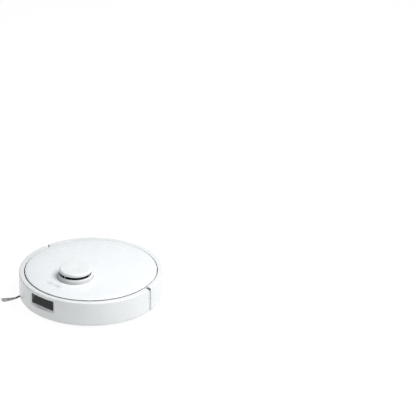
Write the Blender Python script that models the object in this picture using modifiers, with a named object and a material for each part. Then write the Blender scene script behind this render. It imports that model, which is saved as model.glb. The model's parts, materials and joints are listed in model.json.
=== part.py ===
"""Robot vacuum with spinning mops: shells, bumper, turret, wheels, brushes, mops and what they hold.

Metres, +Z up. The robot drives towards -Y, its right side is -X, and it stands on z = 0 with the
centre of its round body over the origin.
"""
import math

import bmesh
import bpy
from mathutils import Matrix, Vector

# ---- driving sizes -------------------------------------------------------------------------
BODY_R = 0.1765            # outside radius of the round body
FLOOR_GAP = 0.009          # underside of the bumper and rear shell above the floor
RIM_TOP = 0.074            # top of the bumper and rear shell
TOP_FILLET = 0.003         # rounding between the side wall and the top
LOW_FILLET = 0.008         # rounding between the side wall and the underside
RIM_WIDTH = 0.0124         # top flange of the bumper and rear shell, round the lid
LIP_WIDTH = 0.0100         # their bottom lip
INNER_FILLET = 0.0005      # least rounding inside the wall

CLEAR = 0.0003             # gap between pieces that touch
SLIP = 0.0008              # gap round pieces that slide in each other

BUMPER_WALL = 0.0022
BUMPER_HALF_SPAN = 96.0    # degrees from the front to each end of the bumper
BUMPER_TRAVEL = 0.004
END_GAP = 0.010            # open slot between the bumper's end and the rear shell
REAR_WALL = 0.0036
TONGUE_WALL = 0.0021       # ledge of the rear shell that lies behind the slot
TONGUE_SPAN = 5.5          # degrees
TONGUE_DROP = 0.008        # notch in the rim above the ledge

LID_THICK = 0.0022
LID_EDGE = 0.0012
LID_GROOVE = 0.0025        # groove between the lid and the rim round it
LID_LIFT = 0.090
LID_OVERHANG = 0.0034      # lid's edge past the plateau that it rests on
DECK_THICK = 0.0025

CHASSIS_BOTTOM = 0.012
CHASSIS_THICK = 0.003
CHASSIS_EDGE = 0.001       # chassis outside the housing, and its bevel
HOUSING_GAP = 0.0125       # outside of the body to the inner housing
HOUSING_WALL = 0.0025

TURRET_Y = -0.0545
TURRET_R = 0.0432          # widest part of the turret's base
TURRET_WALL = 0.0055
TURRET_BASE_H = 0.0100     # base above the lid
TURRET_SLOT_H = 0.0068     # dark slot that the laser looks out of
CAP_R = 0.0398
CAP_H = 0.0077
CAP_FILLET = 0.0045
CAP_TRAVEL = 0.0015
HEAD_R = 0.0322
PULLEY_R = 0.0245
POST_R = 0.0013
POST_CIRCLE = 0.0352
POST_ANGLES = (-4.0, 116.0, 236.0)
PULLEY_H = 0.004
PULLEY_FLANGE = 0.0035     # pulley's rim past the head's neck
LENS_HALF_W = 0.011
LENS_DEPTH = 0.003
LENS_H = 0.0065
LENS_BELOW_TOP = 0.0015

BUTTON_X = -0.0094         # middle of the two buttons
BUTTON_Y = -0.1187
BUTTON_SIZE = (0.022, 0.011)
BUTTON_PITCH = 0.025
BUTTON_PROUD = 0.0004
BUTTON_TRAVEL = 0.001
BUTTON_STEM_R = 0.0025

WINDOW_W = 0.070
WINDOW_H = 0.026
WINDOW_LOW = 0.040
WINDOW_THICK = 0.0022
WINDOW_ANGLE = 0.0         # degrees from the front, positive towards the robot's left
SIDE_WINDOW = (0.022, 0.010)
SIDE_WINDOW_ANGLE = -78.0

BRUSH_Y = -0.005
BRUSH_R = 0.019
BRUSH_CORE_R = 0.011
BRUSH_HALF = 0.0840
BRUSH_LIFT = 0.0005        # lowest fin above a hard floor
BRUSH_FINS = 6
CHAMBER_WALL = 0.0025
CHAMBER_GAP = 0.004        # air round the brush
SHAFT_R = 0.0030
GEAR_MODULE = 0.001
GEAR_WIDTH = 0.0038
BRUSH_TEETH = 12
PINION_TEETH = 12
BRUSH_MOTOR_R = 0.0100
BRUSH_MOTOR_L = 0.055
BRUSH_MOTOR_GAP = 0.0005   # motor above the brush chamber
COVER_BORDER = 0.006
LATCH_SIZE = (0.005, 0.016)
LATCH_TRAVEL = 0.002

WHEEL_R = 0.0325
WHEEL_X = 0.112            # middle of each drive wheel
WHEEL_Y = 0.002
TYRE_WIDTH = 0.018
TYRE_THICK = 0.0060
ARM_THICK = 0.0038
ARM_LENGTH = 0.052
ARM_R = 0.010
WHEEL_DROOP = 13.0         # degrees that a wheel's arm swings down
WELL_SIDE = 0.0030
WELL_END = 0.0120

CASTER_INSET = 0.0415      # caster's swivel axis from the body's outside
CASTER_R = 0.012
CASTER_WIDTH = 0.013
CASTER_TRAIL = 0.004
FORK_R = 0.0165
FORK_LOW = 0.0065
SOCKET_WALL = 0.002
SOCKET_H = 0.014
CASTER_STEM_R = 0.004
CASTER_STEM_RISE = 0.004   # stem above the socket
CASTER_AXLE_R = 0.0015
CASTER_AXLE_INSET = 0.0027

SPIN_INSET = 0.0285        # side brush's axis from the body's outside
SPIN_ANGLE = -48.0
SPIN_TURN = -69.0          # first arm, from the hub's own direction
SPIN_HUB_R = 0.009
SPIN_HUB_LOW = 0.0045
SPIN_ARM_ROOT = (0.004, 0.0078)    # radius and height where an arm leaves the hub
SPIN_ARM_BEND = (0.030, 0.0070)    # where it bends down to the floor
SPIN_ARM_FOOT = (0.041, 0.0028)    # where its bristles start
SPIN_TIP_Z = 0.0019
SPIN_ARM_L = 0.078
SPIN_ARM_W = 0.0070
SPIN_ARM_T = 0.0018
SIDE_MOTOR_R = 0.0125
SIDE_MOTOR_H = 0.026

MOP_R = 0.062
MOP_GAP = 0.007            # between the two mops
PLATE_INSET = 0.003        # a plate's edge inside its pad's
PLATE_TO_LIP = 0.0017      # a plate's edge inside the rear shell's lip
PAD_THICK = 0.0040
PLATE_THICK = 0.0022
MOP_LIFT = 0.0045
MOP_SHAFT_R = 0.005
MOP_MOTOR_R = 0.0155
MOP_MOTOR_H = 0.021

BIN_TO_MOTORS = 0.003      # bin's sides to the mop motors
BIN_FRONT = 0.034
BIN_LOW = 0.030
BIN_UNDER_RIM = 0.0027     # bin's lid below the body's rim
BIN_CORNER_GAP = 0.0138    # bin's rear corners to the housing's wall
BIN_WALL = 0.002
BIN_LID_THICK = 0.003
BAY_GAP = 0.003
HANDLE_SIZE = (0.050, 0.022)
HANDLE_DEPTH = 0.0015
HANDLE_FORWARD = 0.020     # handle's recess behind the bin's middle
FILTER_SIZE = (0.050, 0.024)
FILTER_THICK = 0.004
DUCT_HALF_W = 0.025
DUCT_H = 0.012
DUCT_WALL = 0.002

FAN_X, FAN_Y = 0.092, 0.082
FAN_R = 0.024
FAN_H = 0.020
FAN_WALL = 0.002
FAN_LOW = 0.0448
FAN_INLET_R = 0.011
FAN_AXLE_R = 0.006
NOZZLE_HALF_W = 0.012
NOZZLE_HALF_H = 0.007
IMPELLER_R = 0.020
IMPELLER_HUB_R = 0.008
IMPELLER_GAP = 0.003       # impeller to the fan housing's top and floor
BLADES = 9
TANK_GAP = 0.006           # water tank to the dust bin
TANK_FRONT = 0.046
TANK_TO_HOUSING = 0.0035

BATTERY_SIZE = (0.128, 0.054, 0.022)
BATTERY_Y = -0.085
DOOR_BORDER = 0.004
BOARD_SIZE = (0.118, 0.058, 0.0016)
SPEAKER_R = 0.017
SPEAKER_H = 0.014
SPEAKER_ANGLE = 50.0
SPEAKER_INSET = 0.0405     # speaker's axis from the body's outside
CLIFF_SIZE = (0.016, 0.009)
CLIFF_ANGLE = 24.0
CLIFF_INSET = 0.0275       # cliff sensors from the body's outside
CLIFF_H = 0.0067

CONTACT_SIZE = (0.014, 0.009)
CONTACT_X = 0.028
CONTACT_Z = 0.024
SIGNAL_SIZE = (0.034, 0.010)
SIGNAL_Z = 0.044
INLET_R = 0.006
INLET_X = -0.046
INLET_Z = 0.058
GRILLE_ANGLE = 150.0
GRILLE_SPAN = 26.0
GRILLE_Z = (0.030, 0.054)
GRILLE_THICK = 0.0020
GRILLE_SLOTS = 8
GRILLE_SLOT_W = 0.006
GRILLE_MARGIN = 0.003      # solid strip above and below the slots
GRILLE_SUNK = 0.0008
FACE_SUNK = 0.0005         # flat faces below the curved wall

SIDES = 48                 # facets round the body
SMALL_SIDES = 20           # facets round small turned pieces

# ---- sizes that follow from them -----------------------------------------------------------
FLANGE_R = BODY_R - RIM_WIDTH
LIP_R = BODY_R - LIP_WIDTH
LID_R = FLANGE_R - LID_GROOVE
DECK_R = LID_R - LID_OVERHANG
HOUSING_R = BODY_R - HOUSING_GAP
REAR_START = BUMPER_HALF_SPAN + math.degrees(END_GAP / BODY_R)
CHASSIS_TOP = CHASSIS_BOTTOM + CHASSIS_THICK
CHASSIS_R = HOUSING_R + CHASSIS_EDGE
SEAT = CHASSIS_TOP + CLEAR                 # what stands on the chassis starts here
LID_LOW = RIM_TOP + CLEAR
LID_TOP = LID_LOW + LID_THICK
DECK_TOP = RIM_TOP - CLEAR / 3
TURRET_BASE_TOP = LID_TOP + TURRET_BASE_H
CAP_LOW = TURRET_BASE_TOP + TURRET_SLOT_H
CAP_TOP = CAP_LOW + CAP_H
BRUSH_Z = BRUSH_R + BRUSH_LIFT
CHAMBER_R = BRUSH_R + CHAMBER_GAP
CHAMBER_HALF = BRUSH_HALF + CHAMBER_GAP / 2 + CHAMBER_WALL
GEAR_X = CHAMBER_HALF + CLEAR
MOTOR_RISE = CHAMBER_R + CHAMBER_WALL + BRUSH_MOTOR_GAP + BRUSH_MOTOR_R   # least, above the brush
IDLER_TEETH = 2 * math.ceil(round((2 * MOTOR_RISE / GEAR_MODULE - BRUSH_TEETH - PINION_TEETH) / 4, 6))
IDLER_Z = BRUSH_Z + GEAR_MODULE * (BRUSH_TEETH + IDLER_TEETH) / 2
PINION_Z = IDLER_Z + GEAR_MODULE * (IDLER_TEETH + PINION_TEETH) / 2
PLATE_R = MOP_R - PLATE_INSET
MOP_X = MOP_R + MOP_GAP / 2
MOP_Y = math.sqrt((LIP_R - PLATE_TO_LIP - PLATE_R) ** 2 - MOP_X ** 2)
BIN_HALF_W = MOP_X - MOP_MOTOR_R - BIN_TO_MOTORS
BIN_TOP = RIM_TOP - BIN_UNDER_RIM
BIN_Z = (BIN_LOW, BIN_TOP - BIN_LID_THICK - CLEAR)
BIN_Y = (BIN_FRONT, math.sqrt((HOUSING_R - HOUSING_WALL - BIN_CORNER_GAP) ** 2 - BIN_HALF_W ** 2))
CASTER_Y = CASTER_INSET - BODY_R
SPIN_R = BODY_R - SPIN_INSET
SPEAKER_RADIUS = BODY_R - SPEAKER_INSET
CLIFF_RADIUS = BODY_R - CLIFF_INSET


def polar(radius, degrees, z=0.0):
    """A point at an angle from the front, positive towards the robot's left (+X)."""
    turn = math.radians(degrees)
    return Vector((radius * math.sin(turn), -radius * math.cos(turn), z))


# ---- scene ---------------------------------------------------------------------------------
for old in list(bpy.data.objects):
    bpy.data.objects.remove(old, do_unlink=True)

parts = bpy.data.collections.new("robot_vacuum")
cutters = bpy.data.collections.new("cutters")
bpy.context.scene.collection.children.link(parts)
bpy.context.scene.collection.children.link(cutters)


def finish(name, colour, roughness, metallic=0.0):
    material = bpy.data.materials.new(name)
    material.use_nodes = True
    shader = material.node_tree.nodes["Principled BSDF"]
    shader.inputs["Base Color"].default_value = (*colour, 1.0)
    shader.inputs["Roughness"].default_value = roughness
    shader.inputs["Metallic"].default_value = metallic
    return material


WHITE = finish("white_plastic", (0.86, 0.88, 0.88), 0.3)
PALE = finish("pale_plastic", (0.78, 0.80, 0.80), 0.45)
GREY = finish("grey_plastic", (0.36, 0.37, 0.38), 0.5)
DARK = finish("dark_plastic", (0.03, 0.03, 0.035), 0.35)
WINDOW = finish("smoked_window", (0.008, 0.008, 0.01), 0.08)
RUBBER = finish("rubber", (0.05, 0.05, 0.052), 0.8)
METAL = finish("contact_metal", (0.75, 0.72, 0.66), 0.3, 1.0)
BOARD = finish("circuit_board", (0.02, 0.14, 0.06), 0.5)
CLOTH = finish("mop_cloth", (0.55, 0.57, 0.58), 0.95)
BRUSH = finish("brush_rubber", (0.12, 0.12, 0.125), 0.7)
LATCH = finish("latch_plastic", (0.72, 0.16, 0.05), 0.4)


# ---- ways of making a piece ----------------------------------------------------------------
def place(name, mesh, material=None, location=(0, 0, 0), rotation=(0, 0, 0)):
    """An object in the parts collection, or a cutter when it has no material."""
    piece = bpy.data.objects.new(name, mesh)
    piece.location = location
    piece.rotation_euler = rotation
    if material:
        mesh.materials.append(material)
        parts.objects.link(piece)
    else:
        cutters.objects.link(piece)
        piece.hide_render = True
        piece.display_type = "WIRE"
    return piece


def box(name, low, high, material=None, bevel=0.0, rotation=(0, 0, 0), about=None):
    """A block between two corners; with about, the corners are measured from that point."""
    bm = bmesh.new()
    bmesh.ops.create_cube(bm, size=1.0)
    size = Vector(high) - Vector(low)
    middle = (Vector(high) + Vector(low)) / 2
    bmesh.ops.transform(bm, matrix=Matrix.Diagonal((*size, 1.0)), verts=bm.verts)
    if about is not None:
        bmesh.ops.translate(bm, vec=middle, verts=bm.verts)
        middle = Vector(about)
    mesh = bpy.data.meshes.new(name)
    bm.to_mesh(mesh)
    bm.free()
    piece = place(name, mesh, material, middle, rotation)
    if bevel:
        rounding = piece.modifiers.new("rounded_edges", "BEVEL")
        rounding.width = bevel
        rounding.segments = 2
    return piece


def turned(name, profile, material=None, location=(0, 0, 0), rotation=(0, 0, 0), sides=SMALL_SIDES,
           closed=False, span=360.0, wall=0.0):
    """A profile of (radius, height) points turned about the object's Z axis."""
    points = list(profile)
    edges = [(i, i + 1) for i in range(len(points) - 1)]
    if closed:
        edges.append((len(points) - 1, 0))
    mesh = bpy.data.meshes.new(name)
    mesh.from_pydata([(radius, 0.0, height) for radius, height in points], edges, [])
    piece = place(name, mesh, material, location, rotation)
    screw = piece.modifiers.new("turned", "SCREW")
    screw.angle = math.radians(span)
    steps = sides if span == 360.0 else max(2, round(sides * span / 360.0))
    screw.steps = steps
    screw.render_steps = steps
    screw.use_merge_vertices = True
    screw.merge_threshold = 0.00001
    screw.use_smooth_shade = True
    if wall:
        shell = piece.modifiers.new("wall", "SOLIDIFY")
        shell.thickness = wall
        shell.use_even_offset = True
    return piece


def cylinder(name, radius, low, high, material=None, at=(0, 0, 0), axis="Z", sides=SMALL_SIDES):
    """A round bar along an axis through a point, from low to high along that axis."""
    turns = {"Z": (0, 0, 0), "X": (0, math.pi / 2, 0), "Y": (-math.pi / 2, 0, 0)}
    return turned(name, [(0, high), (radius, high), (radius, low), (0, low)], material, at,
                  turns[axis], sides)


def plate(name, outline, low, high, material=None, location=(0, 0, 0), rotation=(0, 0, 0)):
    """A flat outline in the object's XY plane, from low to high along its Z axis."""
    curve = bpy.data.curves.new(name, "CURVE")
    curve.dimensions = "2D"
    curve.fill_mode = "BOTH"
    curve.extrude = (high - low) / 2
    spline = curve.splines.new("POLY")
    spline.points.add(len(outline) - 1)
    for point, (x, y) in zip(spline.points, outline):
        point.co = (x, y, 0.0, 1.0)
    spline.use_cyclic_u = True
    drawn = bpy.data.objects.new(name + "_outline", curve)
    cutters.objects.link(drawn)
    bpy.context.view_layer.update()
    mesh = bpy.data.meshes.new_from_object(drawn.evaluated_get(bpy.context.evaluated_depsgraph_get()))
    bpy.data.objects.remove(drawn, do_unlink=True)
    bm = bmesh.new()
    bm.from_mesh(mesh)
    bmesh.ops.remove_doubles(bm, verts=bm.verts, dist=0.000001)
    bmesh.ops.translate(bm, vec=(0, 0, (low + high) / 2), verts=bm.verts)
    bmesh.ops.recalc_face_normals(bm, faces=bm.faces)
    bm.to_mesh(mesh)
    bm.free()
    mesh.name = name
    return place(name, mesh, material, location, rotation)


def boolean(piece, other, operation="DIFFERENCE"):
    step = piece.modifiers.new(operation.lower(), "BOOLEAN")
    step.operation = operation
    step.solver = "EXACT"
    step.object = other


def arc(centre, radius, start, stop, count):
    """Points on an arc, angles in degrees from +X towards +Y of the profile plane."""
    return [(centre[0] + radius * math.cos(math.radians(start + (stop - start) * i / count)),
             centre[1] + radius * math.sin(math.radians(start + (stop - start) * i / count)))
            for i in range(count + 1)]


def slot_outline(width, depth, corner, count=3):
    """A rectangle with rounded corners, centred on the origin."""
    half_w, half_d = width / 2 - corner, depth / 2 - corner
    outline = []
    for quarter, (sx, sy) in enumerate(((1, 1), (-1, 1), (-1, -1), (1, -1))):
        outline += arc((sx * half_w, sy * half_d), corner, 90 * quarter, 90 * quarter + 90, count)
    return outline


def gear_tip(teeth):
    """Radius over the teeth's tips."""
    return GEAR_MODULE * (teeth / 2 + 0.85)


def gear_outline(teeth, phase):
    """Straight-sided teeth; phase in tooth pitches."""
    root, tip = GEAR_MODULE * (teeth / 2 - 1.25), gear_tip(teeth)
    step = 2 * math.pi / teeth
    outline = []
    for tooth in range(teeth):
        middle = (tooth + phase) * step
        for radius, offset in ((root, -0.30), (tip, -0.11), (tip, 0.11), (root, 0.30)):
            turn = middle + offset * step
            outline.append((radius * math.cos(turn), radius * math.sin(turn)))
    return outline


def star_outline(count, root, tip, root_half, tip_half):
    """Fins round a core; the half widths are angles in radians."""
    outline = []
    for index in range(count):
        middle = 2 * math.pi * index / count
        for radius, offset in ((root, -root_half), (tip, -tip_half), (tip, tip_half),
                               (root, root_half)):
            turn = middle + offset
            outline.append((radius * math.cos(turn), radius * math.sin(turn)))
    return outline


def wall_line(inset, flange, lip):
    """Line of the body's side wall, moved inwards by inset, from top flange to bottom lip."""
    top, low, outside = RIM_TOP - inset, FLOOR_GAP + inset, BODY_R - inset
    top_round = max(TOP_FILLET - inset, INNER_FILLET)
    low_round = max(LOW_FILLET - inset, INNER_FILLET)
    return ([(flange, top)]
            + arc((outside - top_round, top - top_round), top_round, 90, 0, 3)
            + arc((outside - low_round, low + low_round), low_round, 0, -90, 3)
            + [(lip, low)])


def wall_ring(name, inset, wall, flange, lip, material=None):
    """The body's side wall all the way round, with its top flange and bottom lip."""
    profile = wall_line(inset, flange, lip) + wall_line(inset + wall, flange, lip)[::-1]
    return turned(name, profile, material, sides=SIDES, closed=True)


def remove_sector(piece, start, stop):
    """Cuts away what lies between two angles from the front."""
    count = 8
    reach = 2 * BODY_R
    corners = [polar(reach, start + (stop - start) * i / count) for i in range(count + 1)]
    outline = [(0.0, 0.0)] + [(corner.x, corner.y) for corner in corners]
    name = "%s_sector_%d" % (piece.name, len(piece.modifiers))
    boolean(piece, plate(name, outline, FLOOR_GAP - 0.01, RIM_TOP + 0.01))


# ---- outer shells --------------------------------------------------------------------------
def wall_rotation(start_angle):
    """Turns a swept profile so that it starts at an angle from the front."""
    return (0, 0, math.radians(start_angle - 90.0))


def make_bumper():
    bumper = wall_ring("front_bumper", 0.0, BUMPER_WALL, FLANGE_R, LIP_R, WHITE)
    remove_sector(bumper, BUMPER_HALF_SPAN, 360.0 - BUMPER_HALF_SPAN)
    face = window_face(WINDOW_W)
    turn = (0, 0, math.radians(WINDOW_ANGLE))
    corners = ((-WINDOW_W / 2, -face, WINDOW_LOW),
               (WINDOW_W / 2, -face + WINDOW_THICK, WINDOW_LOW + WINDOW_H))
    hole = box("window_hole",
               (corners[0][0] - CLEAR, -BODY_R - 0.005, corners[0][2] - CLEAR),
               (corners[1][0] + CLEAR, -face + WINDOW_THICK + 0.004, corners[1][2] + CLEAR),
               about=(0, 0, 0), rotation=turn)
    boolean(bumper, hole)
    box("obstacle_window", *corners, WINDOW, about=(0, 0, 0), rotation=turn)

    face = window_face(SIDE_WINDOW[0])
    turn = (0, 0, math.radians(SIDE_WINDOW_ANGLE))
    low = WINDOW_LOW + (WINDOW_H - SIDE_WINDOW[1]) / 2
    half = SIDE_WINDOW[0] / 2
    hole = box("side_window_hole", (-half - CLEAR, -BODY_R - 0.005, low - CLEAR),
               (half + CLEAR, -face + WINDOW_THICK + 0.004, low + SIDE_WINDOW[1] + CLEAR),
               about=(0, 0, 0), rotation=turn)
    boolean(bumper, hole)
    box("wall_sensor_window", (-half, -face, low),
        (half, -face + WINDOW_THICK, low + SIDE_WINDOW[1]), WINDOW, about=(0, 0, 0), rotation=turn)


def window_face(width):
    """Distance from the centre of a flat window whose ends sit just inside the curved wall."""
    return math.sqrt((BODY_R - FACE_SUNK) ** 2 - (width / 2) ** 2)


def make_rear_shell():
    shell = wall_ring("rear_shell", 0.0, REAR_WALL, FLANGE_R, LIP_R, WHITE)
    remove_sector(shell, -REAR_START, REAR_START)
    tongue_stop = REAR_START + 1.5
    tongue_start = tongue_stop - TONGUE_SPAN
    tongues = wall_ring("shell_tongues", BUMPER_WALL + SLIP, TONGUE_WALL, FLANGE_R + 0.0007,
                        LIP_R + 0.0007)
    remove_sector(tongues, -tongue_start, tongue_start)
    remove_sector(tongues, tongue_stop, 360.0 - tongue_stop)
    boolean(tongues, cylinder("tongue_top", BODY_R, RIM_TOP - TONGUE_DROP, RIM_TOP + 0.01, sides=SIDES))
    boolean(shell, tongues, "UNION")

    half_span = GRILLE_SPAN / 2
    gap_angle = math.degrees(CLEAR / BODY_R)
    opening = turned("grille_opening",
                     [(BODY_R + 0.004, GRILLE_Z[1] + CLEAR), (BODY_R + 0.004, GRILLE_Z[0] - CLEAR)],
                     rotation=wall_rotation(GRILLE_ANGLE - half_span - gap_angle), sides=2 * SIDES,
                     span=GRILLE_SPAN + 2 * gap_angle, wall=REAR_WALL + 0.008)
    boolean(shell, opening)
    grille = turned("exhaust_grille",
                    [(BODY_R - GRILLE_SUNK, GRILLE_Z[1]), (BODY_R - GRILLE_SUNK, GRILLE_Z[0])], PALE,
                    rotation=wall_rotation(GRILLE_ANGLE - half_span), sides=2 * SIDES,
                    span=GRILLE_SPAN, wall=GRILLE_THICK)
    half_w = GRILLE_SLOT_W / 2
    half_h = (GRILLE_Z[1] - GRILLE_Z[0]) / 2 - GRILLE_MARGIN
    for index in range(GRILLE_SLOTS):
        angle = GRILLE_ANGLE + (index - (GRILLE_SLOTS - 1) / 2) * GRILLE_SPAN / (GRILLE_SLOTS + 0.6)
        slot = box("grille_slot_%d" % (index + 1),
                   (-half_w, -BODY_R - 0.002, -half_h), (half_w, -BODY_R + 0.006, half_h),
                   about=(0, 0, sum(GRILLE_Z) / 2), rotation=(0, 0, math.radians(angle)))
        boolean(grille, slot)

    for side, x in (("left", CONTACT_X), ("right", -CONTACT_X)):
        rear_insert(shell, "charging_contact_" + side, x, CONTACT_Z, CONTACT_SIZE, METAL)
    rear_insert(shell, "dock_signal_window", 0.0, SIGNAL_Z, SIGNAL_SIZE, WINDOW)

    face = math.sqrt(BODY_R ** 2 - (abs(INLET_X) + INLET_R) ** 2) - FACE_SUNK
    hole = cylinder("inlet_hole", INLET_R + CLEAR, face - REAR_WALL - 0.004, BODY_R + 0.004,
                    at=(INLET_X, 0, INLET_Z), axis="Y", sides=20)
    boolean(shell, hole)
    cylinder("water_inlet", INLET_R, face - REAR_WALL, face, RUBBER,
             at=(INLET_X, 0, INLET_Z), axis="Y", sides=20)


def rear_insert(shell, name, x, z, size, material):
    """A flat plate let into the rear shell's wall, facing backwards."""
    face = math.sqrt(BODY_R ** 2 - (abs(x) + size[0] / 2) ** 2) - FACE_SUNK
    half_w, half_h = size[0] / 2, size[1] / 2
    hole = box(name + "_hole", (x - half_w - CLEAR, face - REAR_WALL - 0.004, z - half_h - CLEAR),
               (x + half_w + CLEAR, BODY_R + 0.004, z + half_h + CLEAR))
    boolean(shell, hole)
    box(name, (x - half_w, face - REAR_WALL, z - half_h), (x + half_w, face, z + half_h), material)


def make_lid():
    lid = turned("top_lid",
                 [(0, LID_TOP)] + arc((LID_R - LID_EDGE, LID_TOP - LID_EDGE), LID_EDGE, 90, 0, 3)
                 + [(LID_R, LID_LOW), (0, LID_LOW)], WHITE, sides=SIDES)
    hole = cylinder("lid_turret_hole", TURRET_R + SLIP, LID_LOW - 0.01, LID_TOP + 0.01,
                    at=(0, TURRET_Y, 0), sides=SIDES)
    boolean(lid, hole)
    for side, x in button_places():
        outline = slot_outline(BUTTON_SIZE[0] + 2 * CLEAR, BUTTON_SIZE[1] + 2 * CLEAR,
                               BUTTON_SIZE[1] / 2)
        hole = plate("lid_hole_" + side, outline, LID_LOW - 0.01, LID_TOP + 0.01,
                     location=(x, BUTTON_Y, 0))
        boolean(lid, hole)


def button_places():
    return (("power_button", BUTTON_X - BUTTON_PITCH / 2),
            ("dock_button", BUTTON_X + BUTTON_PITCH / 2))


def make_buttons(housing):
    top = LID_TOP + BUTTON_PROUD
    low = DECK_TOP + BUTTON_TRAVEL + CLEAR
    for name, x in button_places():
        button = plate(name, slot_outline(*BUTTON_SIZE, BUTTON_SIZE[1] / 2 - CLEAR), low, top, PALE,
                       location=(x, BUTTON_Y, 0))
        stem = cylinder(name + "_stem", BUTTON_STEM_R, DECK_TOP - DECK_THICK - 0.002, top - 0.0006,
                        at=(x, BUTTON_Y, 0), sides=16)
        boolean(button, stem, "UNION")
        hole = cylinder(name + "_hole", BUTTON_STEM_R + CLEAR, DECK_TOP - DECK_THICK - 0.01,
                        DECK_TOP + 0.01, at=(x, BUTTON_Y, 0), sides=16)
        boolean(housing, hole)


def make_housing():
    """Inner body: a deck under the lid and a skirt down to the chassis."""
    under = DECK_TOP - DECK_THICK
    inner = HOUSING_R - HOUSING_WALL
    slope = HOUSING_R - DECK_R
    housing = turned("upper_housing",
                     [(0, DECK_TOP), (DECK_R, DECK_TOP), (DECK_R, under),
                      (HOUSING_R, under - slope), (HOUSING_R, SEAT), (inner, SEAT),
                      (inner, under - slope - 0.001), (inner - slope, under), (0, under)],
                     PALE, sides=SIDES)
    bay = plate("bin_bay", slot_outline(2 * (BIN_HALF_W + BAY_GAP),
                                        BIN_Y[1] - BIN_Y[0] + 2 * BAY_GAP, 0.004, 2),
                under - 0.01, DECK_TOP + 0.01, location=(0, sum(BIN_Y) / 2, 0))
    boolean(housing, bay)
    turret_hole = cylinder("turret_hole", TURRET_R - TURRET_WALL - 0.002, under - 0.01,
                           DECK_TOP + 0.01, at=(0, TURRET_Y, 0))
    boolean(housing, turret_hole)
    return housing


# ---- laser turret --------------------------------------------------------------------------
def make_turret():
    foot = DECK_TOP + CLEAR
    inner = TURRET_R - TURRET_WALL
    turned("turret_base",
           [(inner, TURRET_BASE_TOP), (TURRET_R - 0.0025, TURRET_BASE_TOP),
            (TURRET_R - 0.0004, TURRET_BASE_TOP - 0.003), (TURRET_R, foot), (inner, foot)],
           PALE, location=(0, TURRET_Y, 0), sides=30, closed=True)
    cap = turned("turret_cap",
                 [(0, CAP_TOP)]
                 + arc((CAP_R - CAP_FILLET, CAP_TOP - CAP_FILLET), CAP_FILLET, 90, 0, 3)
                 + [(CAP_R, CAP_LOW), (0, CAP_LOW)], WHITE, location=(0, TURRET_Y, 0), sides=30)
    for index, angle in enumerate(POST_ANGLES):
        at = polar(POST_CIRCLE, angle) + Vector((0, TURRET_Y, 0))
        post = cylinder("cap_post_%d" % (index + 1), POST_R, foot + CAP_TRAVEL + CLEAR,
                        CAP_LOW + 0.002, at=at, sides=12)
        boolean(cap, post, "UNION")
    head_top = CAP_LOW - CAP_TRAVEL - SLIP
    head_low = foot + 0.0015
    neck = PULLEY_R - PULLEY_FLANGE
    pulley_top = DECK_TOP - DECK_THICK - SLIP
    head = turned("lidar_head",
                  [(0, head_top), (HEAD_R, head_top), (HEAD_R, head_low), (neck, head_low),
                   (neck, pulley_top), (PULLEY_R, pulley_top), (PULLEY_R, pulley_top - PULLEY_H),
                   (0, pulley_top - PULLEY_H)], DARK, location=(0, TURRET_Y, 0), sides=24)
    face = math.sqrt(HEAD_R ** 2 - LENS_HALF_W ** 2) - FACE_SUNK
    high = head_top - LENS_BELOW_TOP
    low = high - LENS_H
    slot = box("lens_slot", (-LENS_HALF_W - CLEAR, TURRET_Y - HEAD_R - 0.002, low - CLEAR),
               (LENS_HALF_W + CLEAR, TURRET_Y - face + LENS_DEPTH + CLEAR, high + CLEAR))
    boolean(head, slot)
    box("lidar_lens", (-LENS_HALF_W, TURRET_Y - face, low),
        (LENS_HALF_W, TURRET_Y - face + LENS_DEPTH, high), WINDOW)


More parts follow.
